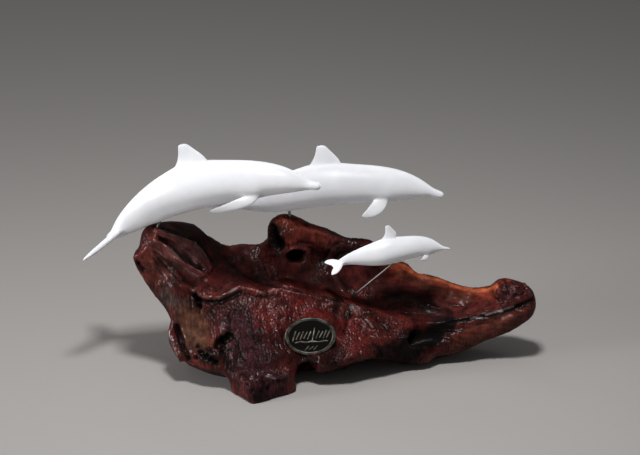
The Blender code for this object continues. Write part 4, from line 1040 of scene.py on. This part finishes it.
def fill_creases(mesh):
    """Soften the hollows where the fins leave the body, as on a cast piece."""
    points, normals = mesh_arrays(mesh)
    edges = np.empty(len(mesh.edges) * 2, dtype=int)
    mesh.edges.foreach_get("vertices", edges)
    edges = edges.reshape(-1, 2)
    counts = np.bincount(edges.ravel(), minlength=len(points))[:, None]
    tip = points[np.argmax(points[:, 0])]
    from_tip = np.linalg.norm(points - tip, axis=1)
    beak = BEAK_SHARE * from_tip.max()
    free = ramp(from_tip, beak, BEAK_FADE * beak)
    for _ in range(FILLET_ROUNDS):
        total = np.zeros_like(points)
        np.add.at(total, edges[:, 0], points[edges[:, 1]])
        np.add.at(total, edges[:, 1], points[edges[:, 0]])
        pull = ((total / counts - points) * normals).sum(axis=1)
        points = points + normals * (np.clip(pull, 0.0, None) * free)[:, None]
    set_points(mesh, points)


def build_castings():
    """Smooth castings in place of the faceted ones."""
    material = casting_material()
    for node in ("dolphin_large_front", "dolphin_large_back", "dolphin_calf"):
        body = copy_of(node, node.replace("dolphin", "casting"))
        join_facets(body)
        smooth_through_points(body)
        fill_creases(body.data)
        body.data.shade_smooth()
        body.data.materials.append(material)
        stand_for(body, node)


def dress_pins():
    """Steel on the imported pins."""
    material = steel_material()
    for node in ("rod_front", "rod_back", "rod_calf"):
        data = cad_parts[node].data
        data.materials.clear()
        data.materials.append(material)


# Plate: sides and rings of its mesh, and in shares of its half axes the rim with its soft edges.
PLATE_SIDES = 256
PLATE_RINGS = 72
RIM_START = 0.86
RIM_END = 0.985
RIM_INNER_EDGE = 0.03
RIM_OUTER_EDGE = 0.02
RIM_WEAR = 0.75
# Sink of the field, and height and half width of the strokes, in mm.
FIELD_SINK = 0.50
STROKE_RISE = 0.34
STROKE_HALF = 0.34
# Strokes on its face, as shares of the half axes: rows of slanted dashes (places across, height of the row,
# half heights of the dashes) and a long wave.
DASH_ROWS = (
    (
        (-0.62, -0.48, -0.33, -0.19, -0.04, 0.12, 0.28, 0.42, 0.56, 0.69), 0.06,
        (0.24, 0.17, 0.20, 0.15, 0.19, 0.36, 0.18, 0.15, 0.20, 0.17),
    ),
    ((-0.17, 0.0, 0.17), -0.62, (0.09, 0.06, 0.09)),
)
DASH_LEAN = 0.07
WAVE = (
    (-0.60, -0.30), (-0.40, -0.25), (-0.20, -0.31), (0.05, -0.27), (0.30, -0.33), (0.50, -0.28),
    (0.64, -0.30),
)


def plate_strokes():
    """Lines of the strokes on the plate, as shares of its half axes."""
    lines = [WAVE]
    for places, middle, heights in DASH_ROWS:
        for x, tall in zip(places, heights):
            lines.append(((x - DASH_LEAN, middle - tall), (x + DASH_LEAN, middle + tall)))
    return lines


def plate_axes():
    """Middle, half axes and unit directions (long, short, outward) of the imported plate, in mm."""
    points = mesh_arrays(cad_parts["maker_plate"].data)[0]
    middle = points.mean(axis=0)
    long, short, out = np.linalg.svd(points - middle, full_matrices=False)[2]
    axes = np.array((long * np.sign(long[0]), short * np.sign(short[2]), out * np.sign(-out[1])))
    local = (points - middle) @ axes.T
    low, high = local.min(axis=0), local.max(axis=0)
    return middle + axes.T @ ((low + high) / 2), (high - low) / 2, axes


def plate_height(across, up, radius, half):
    """Height of the plate's face above its back, in mm, and how worn it is."""
    rim = ramp(radius, RIM_START - RIM_INNER_EDGE, RIM_START)
    rim = rim * (1.0 - ramp(radius, RIM_END - RIM_OUTER_EDGE, 1.0))
    gap = np.full(len(across), FAR)
    spots = np.stack((across * half[0], up * half[1], np.zeros(len(across))), axis=1)
    for places in plate_strokes():
        line = [np.array((x * half[0], y * half[1], 0.0)) for x, y in places]
        gap = np.minimum(gap, nearest_gap(spots, line))
    stroke = np.exp(-(gap / STROKE_HALF) ** 2)
    height = 2.0 * half[2] - FIELD_SINK * (1.0 - rim) + STROKE_RISE * stroke
    return height, np.clip(rim * RIM_WEAR + stroke, 0.0, 1.0)


def plate_faces():
    """Faces of the plate: a fan in the middle, rings of quads, the side wall and the flat back."""
    faces = [(1 + i, 1 + (i + 1) % PLATE_SIDES, 0) for i in range(PLATE_SIDES)]
    for ring in range(PLATE_RINGS):
        start = 1 + ring * PLATE_SIDES
        for i in range(PLATE_SIDES):
            after = (i + 1) % PLATE_SIDES
            faces.append((start + i, start + PLATE_SIDES + i, start + PLATE_SIDES + after, start + after))
    last = 1 + PLATE_RINGS * PLATE_SIDES
    faces.append(tuple(range(last, last + PLATE_SIDES))[::-1])
    return faces


def build_plate():
    """Oval plate with a raised rim and rows of strokes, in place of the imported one."""
    middle, half, (long, short, out) = plate_axes()
    radii = np.linspace(0.0, 1.0, PLATE_RINGS + 1)[1:]
    angles = np.linspace(0.0, 2.0 * math.pi, PLATE_SIDES, endpoint=False)
    radius = np.concatenate(([0.0], np.repeat(radii, PLATE_SIDES)))
    angle = np.concatenate(([0.0], np.tile(angles, PLATE_RINGS)))
    across, up = radius * np.cos(angle), radius * np.sin(angle)
    height, worn = plate_height(across, up, radius, half)
    face = middle + np.outer(across * half[0], long) + np.outer(up * half[1], short)
    front = face + np.outer(height - half[2], out)
    back_edge = face[-PLATE_SIDES:] - half[2] * out
    mesh = bpy.data.meshes.new("oval_plate")
    mesh.from_pydata([tuple(p / MM_PER_M) for p in np.concatenate((front, back_edge))], [], plate_faces())
    set_attribute(mesh, "worn", np.concatenate((worn, np.zeros(PLATE_SIDES))))
    mesh.shade_smooth()
    mesh.materials.append(plate_material())
    stand_for(add_object("oval_plate", mesh), "maker_plate")


# Floor: size in metres and colour. Surroundings: colour and strength.
FLOOR_SIZE = 16.0
FLOOR_COLOUR = (0.450, 0.431, 0.421, 1.0)
FLOOR_ROUGHNESS = 0.95
SKY_COLOUR = (0.5, 0.49, 0.48, 1.0)
SKY_STRENGTH = 0.26
# Lights: place, aim and size in metres, and power in watts.
LIGHTS = {
    "main": ((0.01, -0.23, 0.72), (0.0, 0.0, 0.06), (0.11, 0.11), 3.6),
    "fill": ((-1.13, -0.37, 0.23), (0.0, 0.0, 0.06), (0.30, 0.30), 8.5),
    "backdrop": ((-0.40, 1.05, 1.25), (-0.35, 1.15, 0.0), (0.80, 0.30), 1.1),
}


def area_light(name, place, aim, size, power):
    """Soft rectangular light."""
    data = bpy.data.lights.new(name, "AREA")
    data.shape = "RECTANGLE"
    data.size, data.size_y = size
    data.energy = power
    light = add_object(name, data)
    light.location = place
    light.rotation_euler = (Vector(aim) - Vector(place)).to_track_quat("-Z", "Y").to_euler()


def build_floor():
    """Plain grey floor."""
    bpy.ops.mesh.primitive_plane_add(size=FLOOR_SIZE)
    floor = bpy.context.object
    floor.name = "floor"
    material = bpy.data.materials.new("floor_grey")
    material.use_nodes = True
    shader = material.node_tree.nodes["Principled BSDF"]
    shader.inputs["Base Color"].default_value = FLOOR_COLOUR
    shader.inputs["Roughness"].default_value = FLOOR_ROUGHNESS
    shader.inputs["Specular IOR Level"].default_value = 0.0
    floor.data.materials.append(material)


def build_lights():
    """Dim surroundings, a light nearly overhead, a low one from the left and one on the floor behind."""
    world = bpy.data.worlds.new("world")
    bpy.context.scene.world = world
    world.use_nodes = True
    background = world.node_tree.nodes["Background"]
    background.inputs["Color"].default_value = SKY_COLOUR
    background.inputs["Strength"].default_value = SKY_STRENGTH
    for name, (place, aim, size, power) in LIGHTS.items():
        area_light(name, place, aim, size, power)
    bpy.context.scene.view_settings.view_transform = "Standard"


make_camera()
build_floor()
build_lights()
build_root()
build_castings()
dress_pins()
build_plate()
